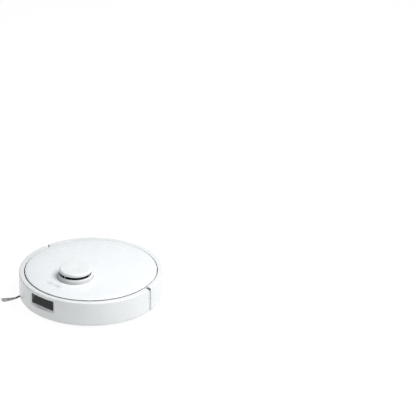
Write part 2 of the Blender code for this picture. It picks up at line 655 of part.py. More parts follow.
# ---- chassis and what it carries -----------------------------------------------------------
def make_chassis():
    chassis = turned("chassis_base",
                     [(0, CHASSIS_TOP), (CHASSIS_R, CHASSIS_TOP),
                      (CHASSIS_R, CHASSIS_BOTTOM + CHASSIS_EDGE),
                      (CHASSIS_R - CHASSIS_EDGE, CHASSIS_BOTTOM),
                      (0, CHASSIS_BOTTOM)], GREY, sides=SIDES)
    below, above = CHASSIS_BOTTOM - 0.01, CHASSIS_TOP + 0.01
    well_half = TYRE_WIDTH / 2 + WELL_SIDE
    for side, x in (("left", WHEEL_X), ("right", -WHEEL_X)):
        inward = -ARM_THICK if x > 0 else ARM_THICK
        low_x, high_x = sorted((x + inward + math.copysign(well_half, inward),
                                x - math.copysign(well_half, inward)))
        well = box("wheel_well_" + side, (low_x, WHEEL_Y - WHEEL_R - WELL_END, below),
                   (high_x, WHEEL_Y + WHEEL_R + WELL_END, above))
        boolean(chassis, well)
    cover_w, cover_d = cover_size()
    mouth = box("cover_recess", (-cover_w / 2 - CLEAR, BRUSH_Y - cover_d / 2 - CLEAR, below),
                (cover_w / 2 + CLEAR, BRUSH_Y + cover_d / 2 + CLEAR, above))
    boolean(chassis, mouth)
    reach = gear_tip(BRUSH_TEETH) + SLIP
    pocket = box("gear_pocket", (GEAR_X - SLIP, BRUSH_Y - reach, below),
                 (GEAR_X + GEAR_WIDTH + SLIP, BRUSH_Y + reach, above))
    boolean(chassis, pocket)
    door_w, door_d = door_size()
    bay = box("battery_bay", (-door_w / 2 - CLEAR, BATTERY_Y - door_d / 2 - CLEAR, below),
              (door_w / 2 + CLEAR, BATTERY_Y + door_d / 2 + CLEAR, above))
    boolean(chassis, bay)
    holes = [("caster_hole", FORK_R + SLIP + SOCKET_WALL / 2, (0, CASTER_Y, 0), SMALL_SIDES),
             ("spinner_hole", SHAFT_R + SLIP, polar(SPIN_R, SPIN_ANGLE), 16),
             ("mop_hole_left", MOP_SHAFT_R + SLIP, (MOP_X, MOP_Y, 0), 20),
             ("mop_hole_right", MOP_SHAFT_R + SLIP, (-MOP_X, MOP_Y, 0), 20)]
    for name, radius, at, sides in holes:
        boolean(chassis, cylinder(name, radius, below, above, at=at, sides=sides))
    for side, angle in (("left", CLIFF_ANGLE), ("right", -CLIFF_ANGLE)):
        half_w, half_d = CLIFF_SIZE[0] / 2, CLIFF_SIZE[1] / 2
        turn = (0, 0, math.radians(angle))
        hole = box("cliff_hole_" + side, (-half_w - CLEAR, -CLIFF_RADIUS - half_d - CLEAR, below),
                   (half_w + CLEAR, -CLIFF_RADIUS + half_d + CLEAR, above),
                   about=(0, 0, 0), rotation=turn)
        boolean(chassis, hole)
        box("cliff_sensor_" + side, (-half_w, -CLIFF_RADIUS - half_d, CHASSIS_BOTTOM + CLEAR),
            (half_w, -CLIFF_RADIUS + half_d, CHASSIS_BOTTOM + CLEAR + CLIFF_H), WINDOW,
            about=(0, 0, 0), rotation=turn)


def cover_size():
    return 2 * CHAMBER_HALF, 2 * (CHAMBER_R + COVER_BORDER)


def door_size():
    return BATTERY_SIZE[0] + 2 * DOOR_BORDER, BATTERY_SIZE[1] + 2 * DOOR_BORDER


def make_power_and_boards():
    width, depth, height = BATTERY_SIZE
    box("battery_pack", (-width / 2, BATTERY_Y - depth / 2, SEAT),
        (width / 2, BATTERY_Y + depth / 2, SEAT + height), GREY, bevel=0.003)
    door_w, door_d = door_size()
    box("battery_door", (-door_w / 2, BATTERY_Y - door_d / 2, CHASSIS_BOTTOM),
        (door_w / 2, BATTERY_Y + door_d / 2, CHASSIS_TOP - CLEAR), GREY, bevel=0.0006)
    board_z = SEAT + height + 0.003
    box("main_board", (-BOARD_SIZE[0] / 2, BATTERY_Y - BOARD_SIZE[1] / 2, board_z),
        (BOARD_SIZE[0] / 2, BATTERY_Y + BOARD_SIZE[1] / 2, board_z + BOARD_SIZE[2]), BOARD)
    turned("speaker",
           [(0, SEAT + SPEAKER_H), (SPEAKER_R * 0.6, SEAT + SPEAKER_H),
            (SPEAKER_R, SEAT + SPEAKER_H - 0.006), (SPEAKER_R, SEAT), (0, SEAT)],
           DARK, location=polar(SPEAKER_RADIUS, SPEAKER_ANGLE))


def make_brush_unit():
    """Main brush in its chamber, its cover and the gears that drive it."""
    at = (0, BRUSH_Y, BRUSH_Z)
    along_x = (math.pi / 2, 0, math.pi / 2)      # an outline's X and Y become Y and Z
    outer = CHAMBER_R + CHAMBER_WALL
    foot = SEAT - BRUSH_Z
    arch = [(outer, foot)] + arc((0, 0), outer, 0, 180, 10) + [(-outer, foot)]
    chamber = plate("brush_chamber", arch, -CHAMBER_HALF, CHAMBER_HALF, PALE, at, along_x)
    hollow_arch = ([(CHAMBER_R, foot - 0.02)] + arc((0, 0), CHAMBER_R, 0, 180, 10)
                   + [(-CHAMBER_R, foot - 0.02)])
    hollow_half = CHAMBER_HALF - CHAMBER_WALL
    boolean(chamber, plate("chamber_hollow", hollow_arch, -hollow_half, hollow_half,
                           location=at, rotation=along_x))
    boolean(chamber, cylinder("shaft_hole", SHAFT_R + SLIP, BRUSH_HALF - 0.01, CHAMBER_HALF + 0.01,
                              at=at, axis="X", sides=16))
    outlet_low = duct_low()
    boolean(chamber, box("chamber_outlet", (-DUCT_HALF_W, BRUSH_Y + 0.006, outlet_low),
                         (DUCT_HALF_W, BRUSH_Y + outer + 0.01, outlet_low + DUCT_H)))

    fins = star_outline(BRUSH_FINS, BRUSH_CORE_R, BRUSH_R, 0.20, 0.05)
    brush = plate("main_brush", fins, -BRUSH_HALF, BRUSH_HALF, BRUSH, at, along_x)
    boolean(brush, cylinder("brush_shaft", SHAFT_R, BRUSH_HALF - 0.01, GEAR_X - CLEAR, at=at,
                            axis="X", sides=16), "UNION")

    gears = (("brush_gear", BRUSH_TEETH, 0.0, BRUSH_Z), ("idler_gear", IDLER_TEETH, 0.5, IDLER_Z),
             ("motor_pinion", PINION_TEETH, 0.0, PINION_Z))
    for name, teeth, phase, z in gears:
        plate(name, gear_outline(teeth, phase), GEAR_X, GEAR_X + GEAR_WIDTH, PALE,
              (0, BRUSH_Y, z), along_x)
    cylinder("brush_motor", BRUSH_MOTOR_R, GEAR_X - CLEAR - BRUSH_MOTOR_L, GEAR_X - CLEAR, METAL,
             at=(0, BRUSH_Y, PINION_Z), axis="X", sides=24)

    cover_w, cover_d = cover_size()
    cover = box("brush_cover", (-cover_w / 2, BRUSH_Y - cover_d / 2, CHASSIS_BOTTOM),
                (cover_w / 2, BRUSH_Y + cover_d / 2, CHASSIS_TOP - CLEAR), GREY)
    mouth_half = BRUSH_HALF + CHAMBER_GAP / 2
    mouth = box("cover_mouth", (-mouth_half, BRUSH_Y - CHAMBER_R, CHASSIS_BOTTOM - 0.01),
                (mouth_half, BRUSH_Y + CHAMBER_R, CHASSIS_TOP + 0.01))
    boolean(cover, mouth)
    # The latches stand in pockets of the cover's front border and slide inwards along X.
    latch_w, latch_l = LATCH_SIZE
    front = BRUSH_Y - cover_d / 2
    for side, sign in (("left", 1), ("right", -1)):
        outer_x = sign * (cover_w / 2 - 0.012)
        inner_x = outer_x - sign * latch_l
        pocket_x = inner_x - sign * (LATCH_TRAVEL + SLIP)
        low_x, high_x = sorted((outer_x + sign * SLIP, pocket_x))
        pocket = box("latch_pocket_" + side, (low_x, front - 0.01, CHASSIS_BOTTOM - 0.01),
                     (high_x, front + latch_w - 0.0010 + CLEAR, CHASSIS_TOP + 0.01))
        boolean(cover, pocket)
        low_x, high_x = sorted((outer_x, inner_x))
        box(side + "_cover_latch", (low_x, front + CLEAR, CHASSIS_BOTTOM - 0.0006),
            (high_x, front + latch_w - 0.0010, CHASSIS_TOP - CLEAR), LATCH)


def duct_low():
    return BRUSH_Z + 0.002


def make_suction():
    """Duct, dust bin, filter and fan."""
    duct_start = BRUSH_Y + CHAMBER_R + CHAMBER_WALL + CLEAR
    low, high = duct_low() - DUCT_WALL, duct_low() + DUCT_H + DUCT_WALL
    half = DUCT_HALF_W + DUCT_WALL
    rise = BIN_Z[0] + BIN_WALL + 0.002 - duct_low()
    stop = BIN_Y[0] - CLEAR
    outline = [(duct_start, low), (stop, low + rise), (stop, high + rise), (duct_start, high)]
    along_x = (math.pi / 2, 0, math.pi / 2)
    duct = plate("air_duct", outline, -half, half, PALE, rotation=along_x)
    bore = [(duct_start - 0.01, duct_low() - 0.01 * rise / (stop - duct_start)),
            (stop + 0.01, duct_low() + rise + 0.01 * rise / (stop - duct_start))]
    bore += [(bore[1][0], bore[1][1] + DUCT_H), (bore[0][0], bore[0][1] + DUCT_H)]
    boolean(duct, plate("duct_bore", bore, -DUCT_HALF_W, DUCT_HALF_W, rotation=along_x))

    dust_bin = box("dust_bin", (-BIN_HALF_W, BIN_Y[0], BIN_Z[0]), (BIN_HALF_W, BIN_Y[1], BIN_Z[1]),
                   GREY)
    inside = box("bin_inside",
                 (-BIN_HALF_W + BIN_WALL, BIN_Y[0] + BIN_WALL, BIN_Z[0] + BIN_WALL),
                 (BIN_HALF_W - BIN_WALL, BIN_Y[1] - BIN_WALL, BIN_Z[1] + 0.01))
    boolean(dust_bin, inside)
    inlet_low = duct_low() + rise
    boolean(dust_bin, box("bin_inlet", (-DUCT_HALF_W, BIN_Y[0] - 0.01, inlet_low),
                          (DUCT_HALF_W, BIN_Y[0] + BIN_WALL + 0.005, inlet_low + DUCT_H)))
    filter_y, filter_z = FAN_Y, FAN_LOW + FAN_H / 2
    half_l, half_h = FILTER_SIZE[0] / 2, FILTER_SIZE[1] / 2
    outer_x = BIN_HALF_W + 0.0010
    boolean(dust_bin, box("filter_opening",
                          (BIN_HALF_W - BIN_WALL - 0.005, filter_y - half_l - CLEAR,
                           filter_z - half_h - CLEAR),
                          (outer_x + 0.005, filter_y + half_l + CLEAR, filter_z + half_h + CLEAR)))
    box("bin_filter", (outer_x - FILTER_THICK, filter_y - half_l, filter_z - half_h),
        (outer_x, filter_y + half_l, filter_z + half_h), CLOTH)
    bin_lid = box("bin_lid", (-BIN_HALF_W, BIN_Y[0], BIN_Z[1] + CLEAR), (BIN_HALF_W, BIN_Y[1], BIN_TOP),
                  PALE, bevel=0.0008)
    boolean(bin_lid, plate("handle_recess", slot_outline(*HANDLE_SIZE, HANDLE_SIZE[1] / 3),
                           BIN_TOP - HANDLE_DEPTH, BIN_TOP + 0.01,
                           location=(0, sum(BIN_Y) / 2 + HANDLE_FORWARD, 0)))

    outer_r = FAN_R + FAN_WALL
    top = FAN_LOW + FAN_H
    housing = turned("fan_housing",
                     [(FAN_INLET_R, top + FAN_WALL), (outer_r, top + FAN_WALL),
                      (outer_r, FAN_LOW - FAN_WALL), (FAN_AXLE_R, FAN_LOW - FAN_WALL),
                      (FAN_AXLE_R, FAN_LOW), (FAN_R, FAN_LOW), (FAN_R, top), (FAN_INLET_R, top)], PALE,
                     location=(FAN_X, FAN_Y, 0), closed=True)
    nozzle_low, nozzle_high = filter_z - NOZZLE_HALF_H, filter_z + NOZZLE_HALF_H
    nozzle = box("fan_nozzle",
                 (outer_x + CLEAR, FAN_Y - NOZZLE_HALF_W - FAN_WALL, nozzle_low - FAN_WALL),
                 (FAN_X - FAN_R - FAN_WALL / 4, FAN_Y + NOZZLE_HALF_W + FAN_WALL,
                  nozzle_high + FAN_WALL))
    boolean(housing, nozzle, "UNION")
    boolean(housing, box("nozzle_bore", (outer_x - 0.01, FAN_Y - NOZZLE_HALF_W, nozzle_low),
                         (FAN_X - FAN_R / 2, FAN_Y + NOZZLE_HALF_W, nozzle_high)))
    blades = star_outline(BLADES, IMPELLER_HUB_R, IMPELLER_R, 0.20, 0.06)
    plate("fan_impeller", blades, FAN_LOW + IMPELLER_GAP, top - IMPELLER_GAP, DARK,
          location=(FAN_X, FAN_Y, 0))

    tank_r = HOUSING_R - HOUSING_WALL - TANK_TO_HOUSING
    tank = box("water_tank", (-tank_r, TANK_FRONT, FAN_LOW - FAN_WALL),
               (-BIN_HALF_W - TANK_GAP, tank_r, top + FAN_WALL), PALE)
    boolean(tank, cylinder("tank_limit", tank_r, 0.0, RIM_TOP + 0.01, sides=SIDES), "INTERSECT")


# ---- wheels --------------------------------------------------------------------------------
def make_drive_wheel(side, sign):
    """One drive wheel on a swinging arm; the arm's pivot is behind the wheel."""
    inner_x = sign * (WHEEL_X - TYRE_WIDTH / 2)
    turn_x = (0, sign * math.pi / 2, 0)          # the object's Z points away from the body
    centre = Vector((sign * WHEEL_X, WHEEL_Y, WHEEL_R))
    half = TYRE_WIDTH / 2
    rim = WHEEL_R - TYRE_THICK
    turned(side + "_tyre",
           [(rim + CLEAR, half), (WHEEL_R - 0.001, half), (WHEEL_R, half - 0.001),
            (WHEEL_R, -half + 0.001), (WHEEL_R - 0.001, -half), (rim + CLEAR, -half)],
           RUBBER, centre, turn_x, sides=28, closed=True)
    rim_wall = 0.0025
    turned(side + "_wheel",
           [(0, half - 0.0005), (rim, half - 0.0005), (rim, -half + 0.0005),
            (rim - rim_wall, -half + 0.0005), (rim - rim_wall, half - 0.0045), (0, half - 0.0045)],
           GREY, centre, turn_x, sides=28)
    arm_x = inner_x - sign * CLEAR
    motor_r = rim - rim_wall - 0.003
    low, high = sorted((arm_x, sign * (WHEEL_X + half - 0.0050)))
    cylinder(side + "_wheel_motor", motor_r, low + CLEAR * (sign > 0), high - CLEAR * (sign < 0),
             DARK, at=(0, WHEEL_Y, WHEEL_R), axis="X", sides=24)
    outline = ([(-x, y) for x, y in arc((0, 0), ARM_R, 90, -90, 8)]
               + arc((ARM_LENGTH, 0), ARM_R, -90, 90, 8))
    along_x = (math.pi / 2, 0, math.pi / 2)
    low, high = sorted((arm_x, arm_x - sign * ARM_THICK))
    plate(side + "_wheel_arm", outline, low, high, GREY, (0, WHEEL_Y, WHEEL_R), along_x)


def make_caster():
    at = (0, CASTER_Y, 0)
    top = SEAT + SOCKET_H - SOCKET_WALL - SLIP
    stem_r, stem_top = CASTER_STEM_R, top + SOCKET_WALL + CASTER_STEM_RISE
    fork = turned("caster_fork",
                  [(0, stem_top), (stem_r, stem_top), (stem_r, top), (FORK_R, top), (FORK_R, FORK_LOW + 0.002),
                   (FORK_R - 0.002, FORK_LOW), (0, FORK_LOW)], GREY, at)
    wheel_y = CASTER_Y + CASTER_TRAIL
    half = CASTER_WIDTH / 2 + SLIP
    boolean(fork, box("caster_slot",
                      (-half, wheel_y - CASTER_R - SLIP, FORK_LOW - 0.01),
                      (half, wheel_y + CASTER_R + 0.02, 2 * CASTER_R + SLIP)))
    bore = CASTER_AXLE_R + CLEAR
    boolean(fork, cylinder("axle_hole", bore, -2 * FORK_R, 2 * FORK_R,
                           at=(0, wheel_y, CASTER_R), axis="X", sides=16))
    axle_half = FORK_R - CASTER_AXLE_INSET
    cylinder("caster_axle", CASTER_AXLE_R, -axle_half, axle_half, METAL, at=(0, wheel_y, CASTER_R),
             axis="X", sides=16)
    half = CASTER_WIDTH / 2
    turned("caster_wheel",
           [(bore, half), (CASTER_R - 0.002, half), (CASTER_R, half - 0.002),
            (CASTER_R, -half + 0.002), (CASTER_R - 0.002, -half), (bore, -half)],
           DARK, (0, wheel_y, CASTER_R), (0, math.pi / 2, 0), closed=True)
    inner = FORK_R + SLIP
    outer = inner + SOCKET_WALL
    turned("caster_socket",
           [(stem_r + SLIP, SEAT + SOCKET_H), (outer, SEAT + SOCKET_H), (outer, SEAT),
            (inner, SEAT), (inner, top + SLIP), (stem_r + SLIP, top + SLIP)],
           PALE, at, closed=True)


# ---- side brush and mops -------------------------------------------------------------------
def make_side_brush():
    at = polar(SPIN_R, SPIN_ANGLE)
    hub_top, hub_low = CHASSIS_BOTTOM - SLIP, SPIN_HUB_LOW
    hub = turned("side_brush",
                 [(0, SEAT - 2 * CLEAR), (SHAFT_R, SEAT - 2 * CLEAR), (SHAFT_R, hub_top),
                  (SPIN_HUB_R, hub_top), (SPIN_HUB_R, hub_low + 0.001), (SPIN_HUB_R - 0.001, hub_low),
                  (0, hub_low)], BRUSH, at, rotation=(0, 0, math.radians(SPIN_ANGLE + SPIN_TURN)))
    line = (SPIN_ARM_ROOT, SPIN_ARM_BEND, SPIN_ARM_FOOT, (SPIN_ARM_L, SPIN_TIP_Z))
    thick = (SPIN_ARM_T, SPIN_ARM_T, SPIN_ARM_T, SPIN_ARM_T * 0.8)
    outline = ([(r, z + t / 2) for (r, z), t in zip(line, thick)]
               + [(r, z - t / 2) for (r, z), t in reversed(list(zip(line, thick)))])
    for index in range(3):
        angle = math.radians(SPIN_ANGLE + SPIN_TURN + 120 * index)
        arm = plate("brush_arm_%d" % (index + 1), outline, -SPIN_ARM_W / 2, SPIN_ARM_W / 2,
                    location=at, rotation=(math.pi / 2, 0, angle))
        boolean(hub, arm, "UNION")
    cylinder("side_brush_motor", SIDE_MOTOR_R, SEAT, SEAT + SIDE_MOTOR_H, METAL, at=at, sides=24)


def make_mop(side, sign):
    at = (sign * MOP_X, MOP_Y, 0)
    turned(side + "_mop_pad",
           [(0, PAD_THICK), (MOP_R - 0.001, PAD_THICK), (MOP_R, PAD_THICK - 0.001), (MOP_R, 0.001),
            (MOP_R - 0.001, 0), (0, 0)], CLOTH, at, sides=30)
    low = PAD_THICK + CLEAR
    bore_top = SEAT + MOP_LIFT
    turned(side + "_mop_plate",
           [(0, SEAT + 0.002), (MOP_SHAFT_R, SEAT + 0.002), (MOP_SHAFT_R, low + PLATE_THICK),
            (PLATE_R, low + PLATE_THICK), (PLATE_R, low), (0, low)],
           GREY, at, sides=30)
    turned(side + "_mop_motor",
           [(0, SEAT + MOP_MOTOR_H), (MOP_MOTOR_R, SEAT + MOP_MOTOR_H), (MOP_MOTOR_R, SEAT),
            (MOP_SHAFT_R + CLEAR, SEAT), (MOP_SHAFT_R + CLEAR, bore_top), (0, bore_top)],
           METAL, at, sides=24)


make_bumper()
make_rear_shell()
make_lid()
make_buttons(make_housing())
make_turret()
make_chassis()
make_power_and_boards()
make_brush_unit()
make_suction()
for wheel_side, wheel_sign in (("left", 1), ("right", -1)):
    make_drive_wheel(wheel_side, wheel_sign)
make_caster()
make_side_brush()
for mop_side, mop_sign in (("left", 1), ("right", -1)):
    make_mop(mop_side, mop_sign)

# Cut faces have many corners in a row, so they are split into well-shaped triangles.
for part in parts.objects:
    if any(modifier.type == "BOOLEAN" for modifier in part.modifiers):
        part.modifiers.new("triangles", "TRIANGULATE").ngon_method = "BEAUTY"
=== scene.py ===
"""Looks of the robot vacuum: moulded shells, smoked glass, rubber, bristles and mop cloth.

Metres, +Z up. The robot drives towards -Y, its right side is -X, and it stands on z = 0.
"""
import json
import math

import bmesh
import bpy
from mathutils import Matrix, Vector, noise


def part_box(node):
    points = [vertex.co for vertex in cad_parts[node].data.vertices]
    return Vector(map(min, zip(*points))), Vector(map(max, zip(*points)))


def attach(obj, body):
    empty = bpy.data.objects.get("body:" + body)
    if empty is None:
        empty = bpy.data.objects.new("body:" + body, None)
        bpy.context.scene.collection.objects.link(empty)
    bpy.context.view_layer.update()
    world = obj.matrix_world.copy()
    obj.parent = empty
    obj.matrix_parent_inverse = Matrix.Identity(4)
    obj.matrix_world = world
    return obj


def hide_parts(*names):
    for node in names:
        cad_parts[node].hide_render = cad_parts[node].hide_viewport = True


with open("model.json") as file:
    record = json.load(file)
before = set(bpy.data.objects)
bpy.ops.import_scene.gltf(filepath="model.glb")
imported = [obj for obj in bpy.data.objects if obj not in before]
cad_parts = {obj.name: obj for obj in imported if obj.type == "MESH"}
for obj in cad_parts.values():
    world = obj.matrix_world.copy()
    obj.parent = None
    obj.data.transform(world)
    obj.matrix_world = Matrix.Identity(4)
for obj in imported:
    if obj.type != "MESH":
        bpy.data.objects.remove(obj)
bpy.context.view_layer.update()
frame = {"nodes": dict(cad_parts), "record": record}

# ---- measures taken from the frame -----------------------------------------------------------
bumper_low, bumper_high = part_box("front_bumper")
BODY_R = bumper_high.x
RIM_TOP, RIM_LOW = bumper_high.z, bumper_low.z
LID_LOW, LID_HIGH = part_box("top_lid")
LID_R, LID_TOP = LID_HIGH.x, LID_HIGH.z
RIM_WIDTH = 0.0124          # top flange of the bumper and rear shell
LIP_WIDTH = 0.0100          # their bottom lip
BUMPER_END = 96.0           # degrees from the front to each end of the bumper
REAR_START = BUMPER_END + math.degrees(0.010 / BODY_R)
GAP = 0.0003


def middle(node):
    low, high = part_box(node)
    return (low + high) / 2


def half(node):
    low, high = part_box(node)
    return (high - low) / 2


# ---- ways of making a shape ------------------------------------------------------------------
def polar(radius, degrees, z=0.0):
    """A point at an angle from the front, positive towards the robot's left (+X)."""
    turn = math.radians(degrees)
    return Vector((radius * math.sin(turn), -radius * math.cos(turn), z))


def arc(centre, radius, start, stop, count):
    """Points on an arc, angles in degrees from the profile's first axis to its second."""
    return [(centre[0] + radius * math.cos(math.radians(start + (stop - start) * i / count)),
             centre[1] + radius * math.sin(math.radians(start + (stop - start) * i / count)))
            for i in range(count + 1)]


def smooth_step(value, start, stop):
    share = min(1.0, max(0.0, (value - start) / (stop - start)))
    return share * share * (3 - 2 * share)


def steps_between(start, stop, size):
    count = max(1, math.ceil(abs(stop - start) / size))
    return [start + (stop - start) * i / count for i in range(count + 1)]


def rounded_outline(width, depth, corner, count=6):
    """A rectangle with rounded corners, centred on the origin."""
    half_w, half_d = width / 2 - corner, depth / 2 - corner
    outline = []
    for quarter, (sx, sy) in enumerate(((1, 1), (-1, 1), (-1, -1), (1, -1))):
        outline += arc((sx * half_w, sy * half_d), corner, 90 * quarter, 90 * quarter + 90, count)
    return outline


def moved(shape, matrix):
    verts, faces = shape
    return [matrix @ Vector(vert) for vert in verts], faces


def shifted(x, y, z=0.0):
    return Matrix.Translation((x, y, z))


def spun(degrees, axis="Z"):
    return Matrix.Rotation(math.radians(degrees), 4, axis)


def joined(*shapes):
    """Several shapes as one list of points and faces."""
    verts, faces = [], []
    for more_verts, more_faces in shapes:
        first = len(verts)
        verts += [Vector(vert) for vert in more_verts]
        faces += [[first + index for index in face] for face in more_faces]
    return verts, faces


def add_ring(verts, rings, points):
    """Adds points, and the list of their numbers as one more ring."""
    rings.append(list(range(len(verts), len(verts) + len(points))))
    verts += points


def turned(profile, angles=None, steps=96, closed=False):
    """A (radius, height) profile turned about Z, all round or through a list of angles."""
    whole = angles is None
    if whole:
        angles = [360.0 * i / steps for i in range(steps)]
    verts, rings = [], []
    for radius, height in profile:
        if radius < 1e-7:
            rings.append([len(verts)])
            verts.append(Vector((0.0, 0.0, height)))
        else:
            add_ring(verts, rings, [polar(radius, angle, height) for angle in angles])
    return verts, ring_faces(rings, whole, closed)


def rod(radius, low, high, steps=32):
    """A plain round bar about Z."""
    return turned([(0, high), (radius, high), (radius, low), (0, low)], steps=steps)


def round_bar(place, radius, low, high, steps=48):
    """A round bar that stands on a place, often used as a cut."""
    return moved(rod(radius, low, high, steps), shifted(place[0], place[1]))


def lofted(sections):
    """Closed sections of the same count joined in a row, with both ends shut."""
    verts, rings = [], []
    for points in sections:
        add_ring(verts, rings, points)
    return verts, ring_faces(rings, True, False) + [rings[0][::-1], rings[-1]]


def ring_faces(rings, whole, closed):
    """Faces between neighbouring rings, with flat caps at both ends of an open turn."""
    faces = []
    pairs = list(zip(rings, rings[1:] + rings[:1] if closed else rings[1:]))
    for upper, lower in pairs:
        count = max(len(upper), len(lower))
        for i in range(count if whole else count - 1):
            after = (i + 1) % count
            face = []
            for index in ((upper[i], upper[after]) if len(upper) > 1 else (upper[0],)):
                face.append(index)
            for index in ((lower[after], lower[i]) if len(lower) > 1 else (lower[0],)):
                face.append(index)
            faces.append(face)
    if closed and not whole:
        faces.append([ring[0] for ring in rings])
        faces.append([ring[-1] for ring in reversed(rings)])
    return faces


def plate(outline, low, high):
    """A flat outline in XY, from low to high along Z."""
    count = len(outline)
    verts = [Vector((x, y, low)) for x, y in outline] + [Vector((x, y, high)) for x, y in outline]
    faces = [list(range(count))[::-1], list(range(count, 2 * count))]
    faces += [[i, (i + 1) % count, count + (i + 1) % count, count + i] for i in range(count)]
    return verts, faces


def block(low, high, corner=0.0, count=4):
    """A block between two corners, its upright edges rounded."""
    size = Vector(high) - Vector(low)
    centre = (Vector(high) + Vector(low)) / 2
    if corner:
        outline = rounded_outline(size.x, size.y, corner, count)
    else:
        outline = [(sx * size.x / 2, sy * size.y / 2)
                   for sx, sy in ((1, 1), (-1, 1), (-1, -1), (1, -1))]
    return moved(plate(outline, -size.z / 2, size.z / 2), Matrix.Translation(centre))


def tube(path, radii, sides=8):
    """A round bar along a path, with its own radius at each point and closed ends."""
    sections = []
    turns = [2 * math.pi * i / sides for i in range(sides)]
    for index, point in enumerate(path):
        before, after = path[max(0, index - 1)], path[min(len(path) - 1, index + 1)]
        along = (after - before).normalized()
        side = along.cross(Vector((0, 0, 1)) if abs(along.z) < 0.9 else Vector((1, 0, 0))).normalized()
        up = side.cross(along)
        sections.append([point + radii[index] * (math.cos(turn) * side + math.sin(turn) * up)
                         for turn in turns])
    return lofted(sections)


def facing(point, outward):
    """Turns a shape's Z axis to an outward direction and stands it on a point."""
    turn = Vector((0, 0, 1)).rotation_difference(Vector(outward)).to_matrix().to_4x4()
    return Matrix.Translation(Vector(point)) @ turn


ALONG_X = Matrix(((0, 0, 1, 0), (1, 0, 0, 0), (0, 1, 0, 0), (0, 0, 0, 1)))   # a plate's Z to world X


# ---- ways of making a piece ------------------------------------------------------------------
def mesh_of(name, shape):
    mesh = bpy.data.meshes.new(name)
    bm = bmesh.new()
    corners = [bm.verts.new(vert) for vert in shape[0]]
    for face in shape[1]:
        bm.faces.new([corners[index] for index in face])
    bmesh.ops.recalc_face_normals(bm, faces=bm.faces)
    bm.to_mesh(mesh)
    bm.free()
    return mesh


def shade(mesh, sharp):
    mesh.shade_smooth()
    mesh.set_sharp_from_angle(angle=math.radians(sharp))


def make(name, shape, material, body, stands_for=(), cuts=(), sharp=32.0, bevel=0.0):
    """A piece that rides on a body; cuts are closed shapes taken out of it."""
    piece = bpy.data.objects.new(name, mesh_of(name, shape))
    bpy.context.scene.collection.objects.link(piece)
    piece.data.materials.append(material)
    if cuts:
        carve(piece, cuts)
    shade(piece.data, sharp)
    if bevel:
        soften(piece, bevel)
    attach(piece, body)
    if stands_for:
        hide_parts(*([stands_for] if isinstance(stands_for, str) else stands_for))
    return piece


def carve(piece, cuts):
    cutters = []
    for cut in cuts:
        cutter = bpy.data.objects.new("cutter", mesh_of("cutter", cut))
        bpy.context.scene.collection.objects.link(cutter)
        step = piece.modifiers.new("cut", "BOOLEAN")
        step.operation = "DIFFERENCE"
        step.object = cutter
        cutters.append(cutter)
    bpy.context.view_layer.update()
    shown = piece.evaluated_get(bpy.context.evaluated_depsgraph_get())
    carved = bpy.data.meshes.new_from_object(shown)
    piece.modifiers.clear()
    piece.data = carved
    for cutter in cutters:
        bpy.data.objects.remove(cutter, do_unlink=True)


def soften(piece, width, segments=2):
    rounding = piece.modifiers.new("rounded_edges", "BEVEL")
    rounding.width = width
    rounding.segments = segments
    rounding.limit_method = "ANGLE"
    rounding.angle_limit = math.radians(40)
    rounding.harden_normals = True
    rounding.use_clamp_overlap = True


# ---- effects that several finishes share -----------------------------------------------------
def effect(name, inputs, outputs):
    """A shader node group with plain number inputs."""
    tree = bpy.data.node_groups.new(name, "ShaderNodeTree")
    for label, value in inputs:
        socket = tree.interface.new_socket(label, in_out="INPUT", socket_type="NodeSocketFloat")
        socket.default_value = value
    for label in outputs:
        tree.interface.new_socket(label, in_out="OUTPUT", socket_type="NodeSocketFloat")
    return tree, tree.nodes.new("NodeGroupInput"), tree.nodes.new("NodeGroupOutput")


def add(tree, kind, mode=None, **values):
    """A shader node with its operation and the values of its inputs."""
    node = tree.nodes.new("ShaderNode" + kind)
    if mode:
        node.operation = mode
    for label, value in values.items():
        node.inputs[label.replace("_", " ")].default_value = value
    return node


def wire(tree, *pairs):
    for source, target in pairs:
        tree.links.new(source, target)


def product(tree, first, second):
    both = add(tree, "Math", "MULTIPLY")
    wire(tree, (first, both.inputs[0]), (second, both.inputs[1]))
    return both.outputs[0]


def textured(tree, kind, size_socket, **values):
    """A texture node in object coordinates, counted in lengths of a size."""
    where, scale = add(tree, "TexCoord"), add(tree, "Math", "DIVIDE")
    scale.inputs[0].default_value = 1.0
    stretch = add(tree, "VectorMath", "SCALE")
    node = add(tree, kind, Scale=1.0, **values)
    wire(tree, (size_socket, scale.inputs[1]), (where.outputs["Object"], stretch.inputs[0]),
         (scale.outputs[0], stretch.inputs["Scale"]), (stretch.outputs[0], node.inputs["Vector"]))
    return node


def grain_effect():
    """Fine bumps of an eroded mould."""
    tree, given, out = effect("mould_grain", (("Size", 0.0005),), ("Height",))
    spots = textured(tree, "TexNoise", given.outputs["Size"], Detail=2.0)
    wire(tree, (spots.outputs["Fac"], out.inputs["Height"]))
    return tree


def mottle_effect():
    """Slow changes of tone and gloss over a surface."""
    tree, given, out = effect("slow_mottle", (("Size", 0.03),), ("Mask",))
    clouds = textured(tree, "TexNoise", given.outputs["Size"], Detail=4.0, Roughness=0.6)
    spread = add(tree, "MapRange", From_Min=0.32, From_Max=0.68)
    wire(tree, (clouds.outputs["Fac"], spread.inputs["Value"]),
         (spread.outputs["Result"], out.inputs["Mask"]))
    return tree


def edge_effect():
    """Rubbed outer edges, broken up by small scratches."""
    tree, given, out = effect("rubbed_edges", (("Size", 0.002),), ("Mask",))
    bent = add(tree, "NewGeometry")
    edge = add(tree, "MapRange", From_Min=0.52, From_Max=0.60)
    marks = textured(tree, "TexNoise", given.outputs["Size"])
    wire(tree, (bent.outputs["Pointiness"], edge.inputs["Value"]),
         (product(tree, edge.outputs["Result"], marks.outputs["Fac"]), out.inputs["Mask"]))
    return tree


